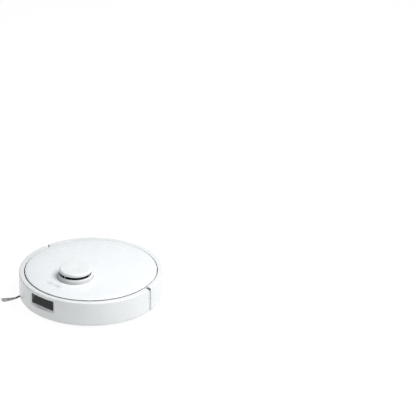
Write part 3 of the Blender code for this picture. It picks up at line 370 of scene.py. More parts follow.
def dust_effect():
    """Specks of dust, thicker towards the floor."""
    tree, given, out = effect("floor_dust", (("Height", 0.03), ("Size", 0.006)), ("Mask",))
    where, split = add(tree, "TexCoord"), add(tree, "SeparateXYZ")
    low = add(tree, "MapRange", To_Min=1.0, To_Max=0.0)
    specks = textured(tree, "TexNoise", given.outputs["Size"], Detail=5.0)
    wire(tree, (where.outputs["Object"], split.inputs[0]), (split.outputs["Z"], low.inputs["Value"]),
         (given.outputs["Height"], low.inputs["From Max"]),
         (product(tree, low.outputs["Result"], specks.outputs["Fac"]), out.inputs["Mask"]))
    return tree


def loops_effect():
    """Short loops of microfibre yarn."""
    tree, given, out = effect("cloth_loops", (("Size", 0.0016),), ("Height", "Mask"))
    loops = textured(tree, "TexVoronoi", given.outputs["Size"])
    shape = add(tree, "MapRange", From_Max=0.7, To_Min=1.0, To_Max=0.0)
    tone = add(tree, "SeparateColor")
    wire(tree, (loops.outputs["Distance"], shape.inputs["Value"]),
         (loops.outputs["Color"], tone.inputs[0]), (shape.outputs["Result"], out.inputs["Height"]),
         (tone.outputs[0], out.inputs["Mask"]))
    return tree


GRAIN, MOTTLE, EDGES = grain_effect(), mottle_effect(), edge_effect()
DUST, LOOPS = dust_effect(), loops_effect()


class Finish:
    """A material under construction: its shader and a few ways to feed it."""

    def __init__(self, name, colour, metallic=0.0):
        self.material = bpy.data.materials.new(name)
        self.material.use_nodes = True
        self.tree = self.material.node_tree
        self.shader = self.tree.nodes["Principled BSDF"]
        self.shader.inputs["Base Color"].default_value = (*colour, 1.0)
        self.shader.inputs["Metallic"].default_value = metallic
        self.plain, self.colour = colour, None

    def place(self, group, **values):
        node = self.tree.nodes.new("ShaderNodeGroup")
        node.node_tree = group
        for label, value in values.items():
            node.inputs[label].default_value = value
        return node

    def tint(self, mask, colour, amount):
        """Mixes a colour in where a mask is set."""
        strength = add(self.tree, "Math", "MULTIPLY")
        strength.inputs[1].default_value = amount
        mix = self.tree.nodes.new("ShaderNodeMix")
        mix.data_type = "RGBA"
        mix.inputs["A"].default_value = (*self.plain, 1.0)
        mix.inputs["B"].default_value = (*colour, 1.0)
        if self.colour:
            wire(self.tree, (self.colour, mix.inputs["A"]))
        self.colour = mix.outputs["Result"]
        wire(self.tree, (mask, strength.inputs[0]), (strength.outputs[0], mix.inputs["Factor"]),
             (self.colour, self.shader.inputs["Base Color"]))

    def gloss(self, mask, low, high):
        spread = add(self.tree, "MapRange", To_Min=low, To_Max=high)
        wire(self.tree, (mask, spread.inputs["Value"]),
             (spread.outputs["Result"], self.shader.inputs["Roughness"]))

    def bumps(self, height, depth):
        bump = add(self.tree, "Bump", Distance=depth)
        wire(self.tree, (height, bump.inputs["Height"]),
             (bump.outputs["Normal"], self.shader.inputs["Normal"]))


def darker(colour, share):
    return tuple(channel * share for channel in colour)


def lighter(colour, share):
    return tuple(channel + (1.0 - channel) * share for channel in colour)


def plastic(name, colour, rough, grain=0.0005, depth=0.00001, dusty=0.25, rubbed=0.2, coat=0.0):
    """Moulded plastic with its grain, slow changes of gloss, rubbed edges and floor dust."""
    new = Finish(name, colour)
    mottle = new.place(MOTTLE, Size=0.035)
    edges = new.place(EDGES)
    dust = new.place(DUST)
    new.tint(mottle.outputs["Mask"], darker(colour, 0.93), 0.6)
    new.tint(edges.outputs["Mask"], lighter(colour, 0.45), rubbed)
    new.tint(dust.outputs["Mask"], (0.45, 0.42, 0.38), dusty)
    new.gloss(mottle.outputs["Mask"], rough, rough + 0.10)
    new.bumps(new.place(GRAIN, Size=grain).outputs["Height"], depth)
    new.shader.inputs["Coat Weight"].default_value = coat
    new.shader.inputs["Coat Roughness"].default_value = 0.12
    return new.material


def metal(name, colour, rough, size=0.0006):
    """Drawn or plated metal with fine streaks and dull spots."""
    new = Finish(name, colour, metallic=1.0)
    mottle = new.place(MOTTLE, Size=0.010)
    new.tint(mottle.outputs["Mask"], darker(colour, 0.75), 0.5)
    new.gloss(mottle.outputs["Mask"], rough, rough + 0.2)
    new.bumps(new.place(GRAIN, Size=size).outputs["Height"], 0.000006)
    return new.material


def smoked_glass():
    """Near-black polished window with a painted reflection, a faintly paler patch, at one end."""
    new = Finish("smoked_glass", (0.004, 0.004, 0.005))
    mottle = new.place(MOTTLE, Size=0.02)
    dust = new.place(DUST, Height=0.05)
    # Painted reflection: a paler grey patch tinted over the glass's right-hand end.
    new.tint(painted_reflection_mask(new.tree), (0.075, 0.078, 0.082), 1.0)
    new.tint(dust.outputs["Mask"], (0.20, 0.19, 0.18), 0.05)
    new.gloss(mottle.outputs["Mask"], 0.05, 0.12)
    new.bumps(new.place(GRAIN, Size=0.004).outputs["Height"], 0.000004)
    new.shader.inputs["IOR"].default_value = 1.33
    return new.material


def painted_reflection_mask(tree):
    """Painted reflection: set on the right-hand end of the obstacle window, behind a slanted edge."""
    where, slant = add(tree, "TexCoord"), add(tree, "VectorMath", "DOT_PRODUCT")
    slant.inputs[1].default_value = (-1.0, 0.0, 0.55)
    edge = add(tree, "MapRange", From_Min=0.0575, From_Max=0.0600)
    wire(tree, (where.outputs["Object"], slant.inputs[0]),
         (slant.outputs["Value"], edge.inputs["Value"]))
    return edge.outputs["Result"]


def mop_cloth():
    """Grey microfibre with stray pale yarns, darker where it has been wet."""
    colour = (0.42, 0.45, 0.48)
    new = Finish("mop_cloth", colour)
    loops = new.place(LOOPS)
    mottle = new.place(MOTTLE, Size=0.025)
    new.tint(loops.outputs["Mask"], lighter(colour, 0.45), 0.7)
    new.tint(mottle.outputs["Mask"], darker(colour, 0.7), 0.4)
    new.gloss(loops.outputs["Mask"], 0.85, 1.0)
    new.bumps(loops.outputs["Height"], 0.0004)
    new.shader.inputs["Sheen Weight"].default_value = 0.35
    new.shader.inputs["Sheen Roughness"].default_value = 0.5
    return new.material


def filter_paper():
    colour = (0.80, 0.79, 0.74)
    new = Finish("filter_paper", colour)
    mottle = new.place(MOTTLE, Size=0.006)
    new.tint(mottle.outputs["Mask"], (0.42, 0.38, 0.33), 0.45)
    new.gloss(mottle.outputs["Mask"], 0.85, 0.98)
    new.bumps(new.place(GRAIN, Size=0.0003).outputs["Height"], 0.00004)
    return new.material


def circuit_board():
    colour = (0.015, 0.12, 0.05)
    new = Finish("circuit_board", colour)
    tracks = new.place(LOOPS, Size=0.004)
    new.tint(tracks.outputs["Mask"], (0.04, 0.22, 0.09), 0.8)
    new.gloss(tracks.outputs["Mask"], 0.3, 0.5)
    new.bumps(tracks.outputs["Height"], 0.00005)
    return new.material


WHITE = plastic("white_shell", (0.80, 0.825, 0.83), 0.30, depth=0.000005, dusty=0.10,
                rubbed=0.15, coat=0.35)
# Lid white: the shell white made lighter, which is painted brightness for the stronger light falling
# on the lid's top.
LIT_LID_WHITE = plastic("lid_white_painted_light", (0.86, 0.885, 0.90), 0.24, depth=0.000004, dusty=0.0,
                    rubbed=0.2, coat=0.5)
PALE = plastic("pale_plastic", (0.72, 0.74, 0.75), 0.42, depth=0.00002)
GREY = plastic("grey_plastic", (0.20, 0.205, 0.215), 0.5, depth=0.00003, dusty=0.35, rubbed=0.35)
BLACK = plastic("dark_plastic", (0.018, 0.018, 0.020), 0.38, depth=0.00001, dusty=0.15, rubbed=0.25)
GLASS = smoked_glass()
RUBBER = plastic("black_rubber", (0.030, 0.030, 0.032), 0.72, grain=0.0008, depth=0.00006,
                 dusty=0.5, rubbed=0.4)
SOFT_RUBBER = plastic("brush_rubber", (0.055, 0.056, 0.060), 0.6, grain=0.0007, depth=0.00004,
                      dusty=0.3, rubbed=0.3)
BRISTLE = plastic("bristle_nylon", (0.62, 0.63, 0.64), 0.4, depth=0.00001, dusty=0.1, rubbed=0.0)
CONTACT = metal("contact_metal", (0.80, 0.76, 0.68), 0.22)
STEEL = metal("motor_metal", (0.52, 0.53, 0.55), 0.34, size=0.0003)
CLOTH = mop_cloth()
PAPER = filter_paper()
BOARD = circuit_board()
LATCH = plastic("latch_plastic", (0.62, 0.11, 0.03), 0.38, depth=0.00002, dusty=0.2, rubbed=0.35)
MARK = plastic("button_mark", (0.16, 0.17, 0.18), 0.45, dusty=0.0, rubbed=0.0)
GLOW = plastic("sensor_lens", (0.10, 0.012, 0.010), 0.08, dusty=0.0, rubbed=0.0)

CARRIED = {
    "white_shell": WHITE, "pale_plastic": PALE, "grey_plastic": GREY, "dark_plastic": BLACK,
    "smoked_window": GLASS, "black_rubber": RUBBER, "contact_metal": CONTACT,
    "motor_metal": STEEL, "circuit_board": BOARD, "mop_cloth": CLOTH, "filter_paper": PAPER,
    "brush_rubber": SOFT_RUBBER, "latch_plastic": LATCH}


def dress_frame():
    """Gives each node of the frame the finish of its slot."""
    for part in frame["record"]["subparts"]:
        node = frame["nodes"][part["node"]]
        node.data.materials.clear()
        node.data.materials.append(CARRIED[part["material_slot"]])
        shade(node.data, 30.0)


# ---- outer wall ------------------------------------------------------------------------------
TOP_ROUND, LOW_ROUND = 0.0030, 0.0080
SEAM_Z = 0.0152             # fine groove above the bottom rounding
SEAM_HALF, SEAM_DEPTH = 0.0004, 0.0005
BUMPER_WALL, REAR_WALL = 0.0022, 0.0036


class Window:
    """A flat pane let into the curved wall, in a scoop with a sloping sill."""

    def __init__(self, node, angle, width, rim_depth, side_fade, sill):
        low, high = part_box(node)
        self.node, self.angle, self.width = node, angle, width
        self.low, self.high = low.z, high.z
        self.face = math.sqrt((BODY_R - 0.0005) ** 2 - (width / 2) ** 2)
        self.rim_depth, self.side_fade, self.sill = rim_depth, side_fade, sill

    def depth(self, angle, z):
        """How far the wall lies under the round body here."""
        turn = math.radians(angle - self.angle)
        if abs(turn) > 0.5:
            return 0.0
        along = abs(BODY_R * math.sin(turn))
        side = 1.0 - smooth_step(along, self.width / 2 + 0.0004, self.width / 2 + self.side_fade)
        over = 1.0 - smooth_step(z, self.high + 0.0003, self.high + 0.0012)
        under = min(1.0, max(0.0, (z - self.low + self.sill) / (self.sill - 0.0004)))
        flat = BODY_R - (self.face - 0.0006) / math.cos(turn)
        return max(flat, self.rim_depth) * side * over * under

    def levels(self):
        """Heights where the wall needs points."""
        return ([self.high + 0.0012, self.high + 0.0008, self.high + 0.0003, self.low - 0.0004]
                + [self.low - self.sill * i / 5 for i in range(1, 6)])

    def angles(self, step):
        reach = math.degrees(math.asin((self.width / 2 + self.side_fade) / BODY_R))
        return steps_between(self.angle - reach, self.angle + reach, step)

    def pane(self, name, corner):
        """The glass itself."""
        height = self.high - self.low
        outline = rounded_outline(self.width, height, corner)
        lie = (spun(self.angle)
               @ shifted(0, -self.face, (self.high + self.low) / 2)
               @ spun(90, "X"))
        return make(name, moved(plate(outline, -0.0020, 0.0), lie), GLASS, "bumper", self.node,
                    bevel=0.0003)


def wall_heights(extra):
    """Heights down the upright wall, with any extra levels."""
    top, low = RIM_TOP - TOP_ROUND, RIM_LOW + LOW_ROUND
    levels = set(round(z, 5) for z in steps_between(top, low, 0.004))
    levels |= set(round(z, 5) for z in extra)
    return sorted((z for z in levels if low + 0.0002 < z < top - 0.0002), reverse=True)


def outer_line(extra=()):
    """Outside of the wall, from the flange over the wall and its fine groove to the lip."""
    top, low = RIM_TOP, RIM_LOW
    line = [(BODY_R - RIM_WIDTH, top - 0.0006), (BODY_R - RIM_WIDTH + 0.0006, top),
            (BODY_R - TOP_ROUND - 0.0004, top)]
    line += arc((BODY_R - TOP_ROUND, top - TOP_ROUND), TOP_ROUND, 90, 0, 8)
    line += [(BODY_R, z) for z in wall_heights(extra)]
    low_line = arc((BODY_R - LOW_ROUND, low + LOW_ROUND), LOW_ROUND, 0, -90, 8)
    line += [(radius, z) for radius, z in low_line if abs(z - SEAM_Z) >= 3 * SEAM_HALF]
    place = next(i for i, point in enumerate(line) if point[1] < SEAM_Z)
    edge = [(BODY_R - LOW_ROUND + math.sqrt(LOW_ROUND ** 2 - (low + LOW_ROUND - z) ** 2), z)
            for z in (SEAM_Z + SEAM_HALF, SEAM_Z, SEAM_Z - SEAM_HALF)]
    edge[1] = (edge[1][0] - SEAM_DEPTH, SEAM_Z)
    return line[:place] + edge + line[place:] + [(BODY_R - LIP_WIDTH, low)]


def inner_line(wall, inset=0.0, levels=()):
    """Inside of the wall, from the bottom lip up to the flange."""
    top, low = RIM_TOP - inset - wall, RIM_LOW + inset + wall
    outside = BODY_R - inset - wall
    top_round, low_round = (max(size - inset - wall, 0.0005) for size in (TOP_ROUND, LOW_ROUND))
    return ([(BODY_R - LIP_WIDTH, low)]
            + arc((outside - low_round, low + low_round), low_round, -90, 0, 5)
            + [(outside, z) for z in sorted(levels)]
            + arc((outside - top_round, top - top_round), top_round, 0, 90, 5)
            + [(BODY_R - RIM_WIDTH, top)])


def wall_shape(wall, start, stop, windows=(), step=1.5):
    """A stretch of the round wall between two angles, sunk where its windows sit."""
    levels = [z for window in windows for z in window.levels()]
    outside = outer_line(levels)
    inside = inner_line(wall, levels=levels)
    angles = set(round(a, 3) for a in steps_between(start, stop, step))
    for window in windows:
        angles |= set(round(a, 3) for a in window.angles(0.5))
    angles = sorted(angles)
    verts, rings = [], []
    for index, (radius, z) in enumerate(outside + inside):
        ring = []
        for angle in angles:
            sunk = 0.0
            if windows:
                depth = max(window.depth(angle, z) for window in windows)
                sunk = depth if index < len(outside) else max(0.0, depth - 0.0006)
            ring.append(polar(radius - sunk, angle, z))
        add_ring(verts, rings, ring)
    return verts, ring_faces(rings, False, True)


def make_bumper():
    obstacle = Window("obstacle_window", angle=0.0, width=0.070, rim_depth=0.0024,
                      side_fade=0.0070, sill=0.0060)
    wall_sensor = Window("wall_sensor_window", angle=-78.0, width=0.022, rim_depth=0.0012,
                         side_fade=0.0030, sill=0.0022)
    make("bumper_shell", wall_shape(BUMPER_WALL, -BUMPER_END, BUMPER_END, (obstacle, wall_sensor)),
         WHITE, "bumper", "front_bumper", sharp=40.0)
    obstacle.pane("obstacle_glass", 0.0012)
    wall_sensor.pane("wall_sensor_glass", 0.0018)


# ---- rear casing -----------------------------------------------------------------------------
def rear_cut(node, corner):
    """A rounded opening through the rear wall round an insert."""
    centre, size = middle(node), half(node)
    outline = rounded_outline(2 * (size.x + GAP), 2 * (size.z + GAP), corner)
    lie = shifted(centre.x, BODY_R, centre.z) @ spun(90, "X")
    return moved(plate(outline, -0.01, 0.02), lie)


def rear_insert(name, node, material, corner, bevel):
    centre, size = middle(node), half(node)
    outline = rounded_outline(2 * size.x, 2 * size.z, corner)
    lie = (shifted(centre.x, centre.y + size.y, centre.z)
           @ spun(-90, "X"))
    return make(name, moved(plate(outline, -2 * size.y, 0.0), lie), material, "base", node,
                bevel=bevel)


def make_rear_casing():
    """The rear wall with its openings, inserts and the ledges that reach in behind the bumper."""
    grille_low, grille_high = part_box("exhaust_grille")
    angle, span = 150.0, 26.0
    reach = math.radians(span / 2) * BODY_R + GAP
    lie = (spun(angle)
           @ shifted(0, -BODY_R, (grille_low.z + grille_high.z) / 2)
           @ spun(90, "X"))
    width = 2 * BODY_R * math.sin(reach / BODY_R)
    grille_cut = moved(plate(rounded_outline(width, grille_high.z - grille_low.z + 2 * GAP, 0.0015),
                             -0.012, 0.012), lie)
    inlet = middle("water_inlet")
    inlet_r = half("water_inlet").x
    inlet_cut = moved(rod(inlet_r + GAP, -0.02, 0.02, 48), facing(inlet, (0, 1, 0)))
    cuts = [grille_cut, inlet_cut, rear_cut("dock_signal_window", 0.002),
            rear_cut("charging_contact_left", 0.0015), rear_cut("charging_contact_right", 0.0015)]
    make("rear_casing", wall_shape(REAR_WALL, REAR_START, 360 - REAR_START), WHITE, "base",
         "rear_shell", cuts=cuts, sharp=40.0)
    ledge = []
    inset, wall = BUMPER_WALL + 0.0008, 0.0021
    stop, span_of_ledge, notch = REAR_START - 0.05, 3.95, RIM_TOP - 0.008
    for first, last in ((stop - span_of_ledge, stop), (360 - stop, 360 - stop + span_of_ledge)):
        outside = ([(BODY_R - inset - wall, notch), (BODY_R - inset, notch)]
                   + arc((BODY_R - LOW_ROUND, RIM_LOW + LOW_ROUND), LOW_ROUND - inset, 0, -90, 6)
                   + [(BODY_R - LIP_WIDTH + 0.0007, RIM_LOW + inset)])
        inside = [(radius, z) for radius, z in inner_line(wall, inset) if z < notch]
        inside[0] = (BODY_R - LIP_WIDTH + 0.0007, inside[0][1])
        ledge.append(turned(outside + inside, steps_between(first, last, 1.0), closed=True))
    make("casing_ledges", joined(*ledge), PALE, "base")
    make_grille(angle, span, grille_low.z, grille_high.z)
    for side in ("left", "right"):
        rear_insert("contact_plate_" + side, "charging_contact_" + side, CONTACT,
                    0.0014, 0.0006)
    rear_insert("signal_glass", "dock_signal_window", GLASS, 0.0018, 0.0004)
    outer = half("water_inlet").y
    profile = [(0.0024, outer), (0.0036, outer + 0.0001), (inlet_r - 0.0008, outer - 0.0002),
               (inlet_r, outer - 0.0009), (inlet_r, -outer), (0.0016, -outer), (0.0016, 0.0)]
    make("inlet_seal", moved(turned(profile, steps=64, closed=True), facing(inlet, (0, 1, 0))),
         RUBBER, "base", "water_inlet")


def make_grille(angle, span, low, high):
    """Curved louvre plate with upright slots."""
    slots, margin, outside, thick = 8, 0.003, BODY_R - 0.0008, 0.0020
    pitch = span / (slots + 0.6)
    slot_half = math.degrees(0.0030 / BODY_R)
    edges = [angle - span / 2]
    for index in range(slots):
        centre = angle + (index - (slots - 1) / 2) * pitch
        edges += [centre - slot_half, centre, centre + slot_half]
    edges.append(angle + span / 2)
    levels = [low, low + margin] + steps_between(low + margin, high - margin, 0.006)[1:-1]
    levels += [high - margin, high]
    verts, rings = [], []
    for z in levels:
        add_ring(verts, rings, [polar(outside, edge, z) for edge in edges])
    faces = []
    for row, (under, over) in enumerate(zip(rings, rings[1:])):
        for column in range(len(edges) - 1):
            in_slot = column % 3 != 0 and 0 < row < len(levels) - 2
            if not in_slot:
                faces.append([under[column], under[column + 1], over[column + 1], over[column]])
    used = sorted({index for face in faces for index in face})
    order = {index: place for place, index in enumerate(used)}
    shape = [verts[index] for index in used], [[order[index] for index in face] for face in faces]
    grille = make("exhaust_louvres", shape, PALE, "base", "exhaust_grille")
    wall = grille.modifiers.new("thickness", "SOLIDIFY")
    wall.thickness = thick
    wall.offset = -1.0 if grille.data.polygons[0].normal.dot(polar(1, angle)) > 0 else 1.0
    soften(grille, 0.0003)


# ---- lid, buttons and turret -----------------------------------------------------------------
TURRET = middle("turret_base")
TURRET_R = half("turret_base").x


def make_lid():
    """The lid's panel, with a shallow bevel along its edge."""
    edge, bevel_w, drop = 0.0010, 0.0060, 0.0009
    profile = [(0, LID_TOP)] + [(radius, LID_TOP) for radius in (0.04, 0.09, 0.13)]
    profile += [(LID_R - bevel_w - 0.0008, LID_TOP), (LID_R - bevel_w, LID_TOP - 0.0001)]
    profile += arc((LID_R - edge, LID_TOP - drop - edge), edge, 80, 0, 6)
    profile += [(LID_R, LID_LOW.z), (0, LID_LOW.z)]
    cuts = [round_bar(TURRET, TURRET_R + 0.0008, LID_TOP - 0.02, LID_TOP + 0.02, 144)]
    for node in ("power_button", "dock_button"):
        centre, size = middle(node), half(node)
        outline = rounded_outline(2 * (size.x + GAP), 2 * (size.y + GAP), size.y + GAP - 1e-5, 10)
        at = shifted(centre.x, centre.y, LID_TOP)
        cuts.append(moved(plate(outline, -0.02, 0.02), at))
    make("lid_panel", turned(profile, steps=192), LIT_LID_WHITE, "lid", "top_lid",
         cuts=cuts, bevel=0.0003)


def make_buttons():
    for node, body in (("power_button", "power_key"), ("dock_button", "dock_key")):
        low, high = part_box(node)
        size = half(node)
        key_low = LID_LOW.z + 0.0010        # the stem goes on down from here
        outline = rounded_outline(2 * size.x, 2 * size.y, size.y - 2e-5, 10)
        centre = middle(node)
        stand = shifted(centre.x, centre.y)
        cap = moved(plate(outline, key_low, high.z), stand)
        make(node + "_cap", cap, PALE, body, node, bevel=0.0006)
        stem = rod(0.0025, low.z, key_low)
        make(node + "_stem", moved(stem, stand), PALE, body)
        at = shifted(centre.x, centre.y, high.z)
        if node == "power_button":
            ring = turned([(0.0015, 0.0001), (0.0019, 0.0001), (0.0019, -0.0003), (0.0015, -0.0003)],
                          steps_between(-145, 145, 8), closed=True)
            bar = block((-0.0002, 0.0006, -0.0003), (0.0002, 0.0022, 0.0001))
            mark = joined(ring, bar)
        else:
            roof = [(-0.0021, -0.0001), (0, 0.0019), (0.0021, -0.0001), (0.0013, -0.0001),
                    (0.0013, -0.0018), (-0.0013, -0.0018), (-0.0013, -0.0001)]
            mark = plate(roof, -0.0003, 0.0001)
        make(node + "_mark", moved(mark, at), MARK, body)


def make_turret():
    base_low, base_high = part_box("turret_base")
    inner, top = TURRET_R - 0.0055, base_high.z
    brow, brow_drop = 0.0030, 0.0040
    at = shifted(0, TURRET.y)
    profile = [(inner, base_low.z), (inner, top - 0.0006), (inner + 0.0006, top),
               (TURRET_R - brow, top)]
    profile += [(TURRET_R - brow + brow * math.sin(math.radians(a)),
                 top - brow_drop * (1 - math.cos(math.radians(a)))) for a in range(15, 91, 15)]
    profile += [(TURRET_R, base_low.z)]
    make("turret_ring", moved(turned(profile, steps=144, closed=True), at), PALE, "base",
         "turret_base")

    cap_low, cap_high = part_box("turret_cap")
    cap_r = half("turret_cap").x
    skirt, edge = 0.0077, 0.0045
    low, top = cap_high.z - skirt, cap_high.z
    profile = [(0, top - 0.0005), (0.0100, top - 0.0005), (0.0112, top - 0.0004),
               (0.0122, top - 0.0001), (0.0134, top), (0.0200, top),
               (0.0250, top), (cap_r - edge - 0.0004, top)]
    profile += arc((cap_r - edge, top - edge), edge, 90, 0, 10)
    profile += [(cap_r, low + 0.0008), (cap_r - 0.0006, low), (cap_r - 0.0022, low),
                (cap_r - 0.0026, low + 0.0006), (0, low + 0.0006)]
    make("turret_cover", moved(turned(profile, steps=144), at), WHITE, "turret_lid",
         "turret_cap")
    posts = []
    for angle in (-4.0, 116.0, 236.0):
        foot, head = cap_low.z, low + 0.002
        place = polar(0.0352, angle) + Vector((0, TURRET.y, 0))
        posts.append(round_bar(place, 0.0013, foot, head, 20))
    make("cover_posts", joined(*posts), PALE, "turret_lid")

    head_low, head_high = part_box("lidar_head")
    head_r = half("lidar_head").x
    lens_low, lens_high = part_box("lidar_lens")
    top, foot = head_high.z, base_low.z + 0.0015
    pulley_top = head_low.z + 0.004
    profile = [(0, top), (head_r - 0.0012, top), (head_r, top - 0.0010), (head_r, foot + 0.0036),
               (head_r - 0.0008, foot + 0.0030), (head_r - 0.0008, foot + 0.0018),
               (head_r, foot + 0.0012), (head_r, foot), (0.0210, foot), (0.0210, pulley_top),
               (0.0245, pulley_top), (0.0238, pulley_top - 0.0012), (0.0238, head_low.z + 0.0012),
               (0.0245, head_low.z), (0, head_low.z)]
    grow = Vector((GAP, GAP, GAP))
    slot = block(lens_low - grow - Vector((0, 0.004, 0)), lens_high + grow)
    make("scanner_drum", moved(turned(profile, steps=96), at), BLACK, "lidar", "lidar_head",
         cuts=[slot])
    pane = moved(plate(rounded_outline(lens_high.x - lens_low.x, lens_high.z - lens_low.z, 0.0012),
                       0.0, lens_high.y - lens_low.y),
                 shifted(0, lens_high.y, (lens_low.z + lens_high.z) / 2)
                 @ spun(90, "X"))
    make("scanner_glass", pane, GLASS, "lidar", "lidar_lens", bevel=0.0003)


# ---- deck under the lid, dust bin ------------------------------------------------------------
def cross_outline(reach, half_w):
    """A Phillips recess."""
    corner = []
    for sx, sy in ((1, 1), (-1, 1), (-1, -1), (1, -1)):
        points = [(reach * sx, half_w * sy), (half_w * sx, half_w * sy), (half_w * sx, reach * sy)]
        corner += points if sx * sy > 0 else points[::-1]
    return corner


def screws(name, places, radius, body, outward=(0, 0, -1), material=STEEL):
    """Domed screw heads with cross recesses, standing on their places."""
    heads, crosses = [], []
    for place in places:
        lie = facing(place, outward)
        head = ([(0, 0.34 * radius)]
                + [(radius * math.sin(math.radians(a)) * 0.94,
                    0.34 * radius * math.cos(math.radians(a)) ** 0.8) for a in (20, 40, 60, 80)]
                + [(radius, -0.0002), (radius, -0.001), (0, -0.001)])
        heads.append(moved(turned(head, steps=24), lie))
        crosses.append(moved(plate(cross_outline(0.62 * radius, 0.13 * radius), -0.0004, 0.003), lie))
    make(name, joined(*heads), material, body, cuts=[joined(*crosses)], sharp=45.0)


DECK_SCREWS = [polar(0.150, angle) for angle in (-62, -24, 24, 62, 112, 144, 216, 248)]


def make_deck():
    low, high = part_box("upper_housing")
    outside, top, thick = high.x, high.z, 0.0025
    wall, deck_r = 0.0025, LID_R - 0.0034
    slope = outside - deck_r
    under, foot = top - thick, low.z
    profile = [(0, top)] + [(radius, top) for radius in (0.05, 0.10, 0.14)]
    profile += [(deck_r - 0.0010, top)] + arc((deck_r - 0.0008, top - 0.0008), 0.0008, 75, 0, 4)
    profile += [(deck_r, under), (outside, under - slope), (outside, foot), (outside - wall, foot),
                (outside - wall, under - slope - 0.001), (outside - wall - slope, under), (0, under)]
    bin_low, bin_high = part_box("dust_bin")
    bay = block((bin_low.x - 0.003, bin_low.y - 0.003, under - 0.01),
                (bin_high.x + 0.003, bin_high.y + 0.003, top + 0.01), 0.004, 6)
    bay_size, centre = bin_high - bin_low, middle("dust_bin")
    at_bay = shifted(centre.x, centre.y)
    groove = frame_plate(bay_size, (0.013, 0.008), (0.009, 0.006), top - 0.0009, top + 0.01)
    groove = moved(groove, at_bay)
    cuts = [bay, groove, round_bar((0, TURRET.y), TURRET_R - 0.0075, under - 0.01, top + 0.01, 96)]
    cuts += [round_bar(middle(node), 0.0028, under - 0.01, top + 0.01, 32)
             for node in ("power_button", "dock_button")]
    cuts.append(joined(*[round_bar(place, 0.0044, top - 0.0016, top + 0.01) for place in DECK_SCREWS]))
    make("deck_housing", turned(profile, steps=144), PALE, "base", "upper_housing",
         cuts=cuts, bevel=0.0002)
    seal = frame_plate(bay_size, (0.0126, 0.0078), (0.0094, 0.0062), top - 0.0008, top + 0.0002)
    make("bay_seal", moved(seal, at_bay), SOFT_RUBBER, "base", bevel=0.0003)
    screws("deck_screws", [place + Vector((0, 0, top - 0.0016)) for place in DECK_SCREWS], 0.0032,
           "base", outward=(0, 0, 1))


def frame_plate(size, outer, inner, low, high):
    """A flat rounded frame; each edge is given by how far it lies past the size, and its corner."""
    outside, inside = [rounded_outline(size[0] + past, size[1] + past, corner)
                       for past, corner in (outer, inner)]
    count = len(outside)
    verts = [Vector((x, y, z)) for outline, z in ((outside, low), (outside, high), (inside, high),
                                                  (inside, low)) for x, y in outline]
    faces = []
    for ring in range(4):
        first, second = ring * count, (ring + 1) % 4 * count
        faces += [[first + i, first + (i + 1) % count, second + (i + 1) % count, second + i]
                  for i in range(count)]
    return verts, faces


def make_bin():
    low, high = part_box("dust_bin")
    wall = 0.002
    filter_low, filter_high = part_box("bin_filter")
    duct_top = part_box("air_duct")[1].z
    room = block((low.x + wall, low.y + wall, low.z + wall),
                 (high.x - wall, high.y - wall, high.z + 0.01), 0.004)
    mouth = block((-0.025, low.y - 0.01, duct_top - wall - 0.012),
                  (0.025, low.y + 0.006, duct_top - wall))
    grow = Vector((0.006, GAP, GAP))
    window = block(filter_low - grow, filter_high + grow)
    ribs = [block((x, high.y - 0.0006, low.z + 0.004), (x + 0.0012, high.y + 0.01, high.z - 0.004))
            for x in (-0.030, -0.020, -0.010, 0.0, 0.010, 0.020, 0.029)]
    make("bin_tub", block(low, high, 0.004, 6), GREY, "bin", "dust_bin",
         cuts=[room, mouth, window, joined(*ribs)], bevel=0.0004)

    low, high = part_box("bin_lid")
    centre = (low + high) / 2
    recess = shifted(0, centre.y + 0.020, high.z)
    grip = moved(plate(rounded_outline(0.050, 0.022, 0.007), -0.0015, 0.01), recess)
    line = frame_plate(high - low, (-0.010, 0.004), (-0.012, 0.003), -0.0004, 0.01)
    make("bin_cover", block(low, high, 0.004, 6), PALE, "bin", "bin_lid",
         cuts=[grip, moved(line, shifted(centre.x, centre.y, high.z))], bevel=0.0005)
    handle = [block((-0.020, -0.0012 + y, -0.0017), (0.020, 0.0012 + y, -0.0004))
              for y in (-0.004, 0.0, 0.004)]
    make("bin_grip_bars", moved(joined(*handle), recess), LATCH, "bin",
         bevel=0.0004)

    pleats, size, centre = 16, filter_high - filter_low, middle("bin_filter")
    border = moved(frame_plate(size.yz, (0.0, 0.0015), (-0.004, 0.0008), 0.0, size.x),
                   shifted(filter_low.x, centre.y, centre.z) @ ALONG_X)
    make("filter_frame", border, BLACK, "bin", "bin_filter", bevel=0.0003)
    first, last = filter_low.y + 0.0018, filter_high.y - 0.0018
    outline = []
    for index in range(2 * pleats + 1):
        y = first + (last - first) * index / (2 * pleats)
        outline.append((y, filter_high.x - 0.0004 if index % 2 else filter_high.x - 0.0022))
    outline += [(y, x - 0.0009) for y, x in reversed(outline)]
    folded = plate([(x, y) for y, x in outline], filter_low.z + 0.0018, filter_high.z - 0.0018)
    make("filter_pleats", folded, PAPER, "bin", sharp=20.0)


def make_fan_wheel():
    low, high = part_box("fan_impeller")
    centre = (low + high) / 2
    blades = []
    for index in range(11):
        start = 360.0 * index / 11
        line = [polar(0.0075 + 0.0120 * share, start + 55 * share)
                for share in (0, 0.25, 0.5, 0.75, 1.0)]
        side = [polar(0.0075 + 0.0120 * share, start + 55 * share + 4 - 2 * share)
                for share in (1.0, 0.75, 0.5, 0.25, 0)]
        outline = [(point.x, point.y) for point in line + side]
        blades.append(plate(outline, low.z + 0.0008, high.z - 0.001))
    hub = turned([(0, high.z), (0.004, high.z), (0.0078, high.z - 0.006), (0.010, low.z + 0.002),
                  (0.0200, low.z + 0.0012), (0.0200, low.z), (0, low.z)], steps=72)
    make("fan_wheel", moved(joined(hub, *blades), shifted(centre.x, centre.y)), BLACK,
         "fan", "fan_impeller")


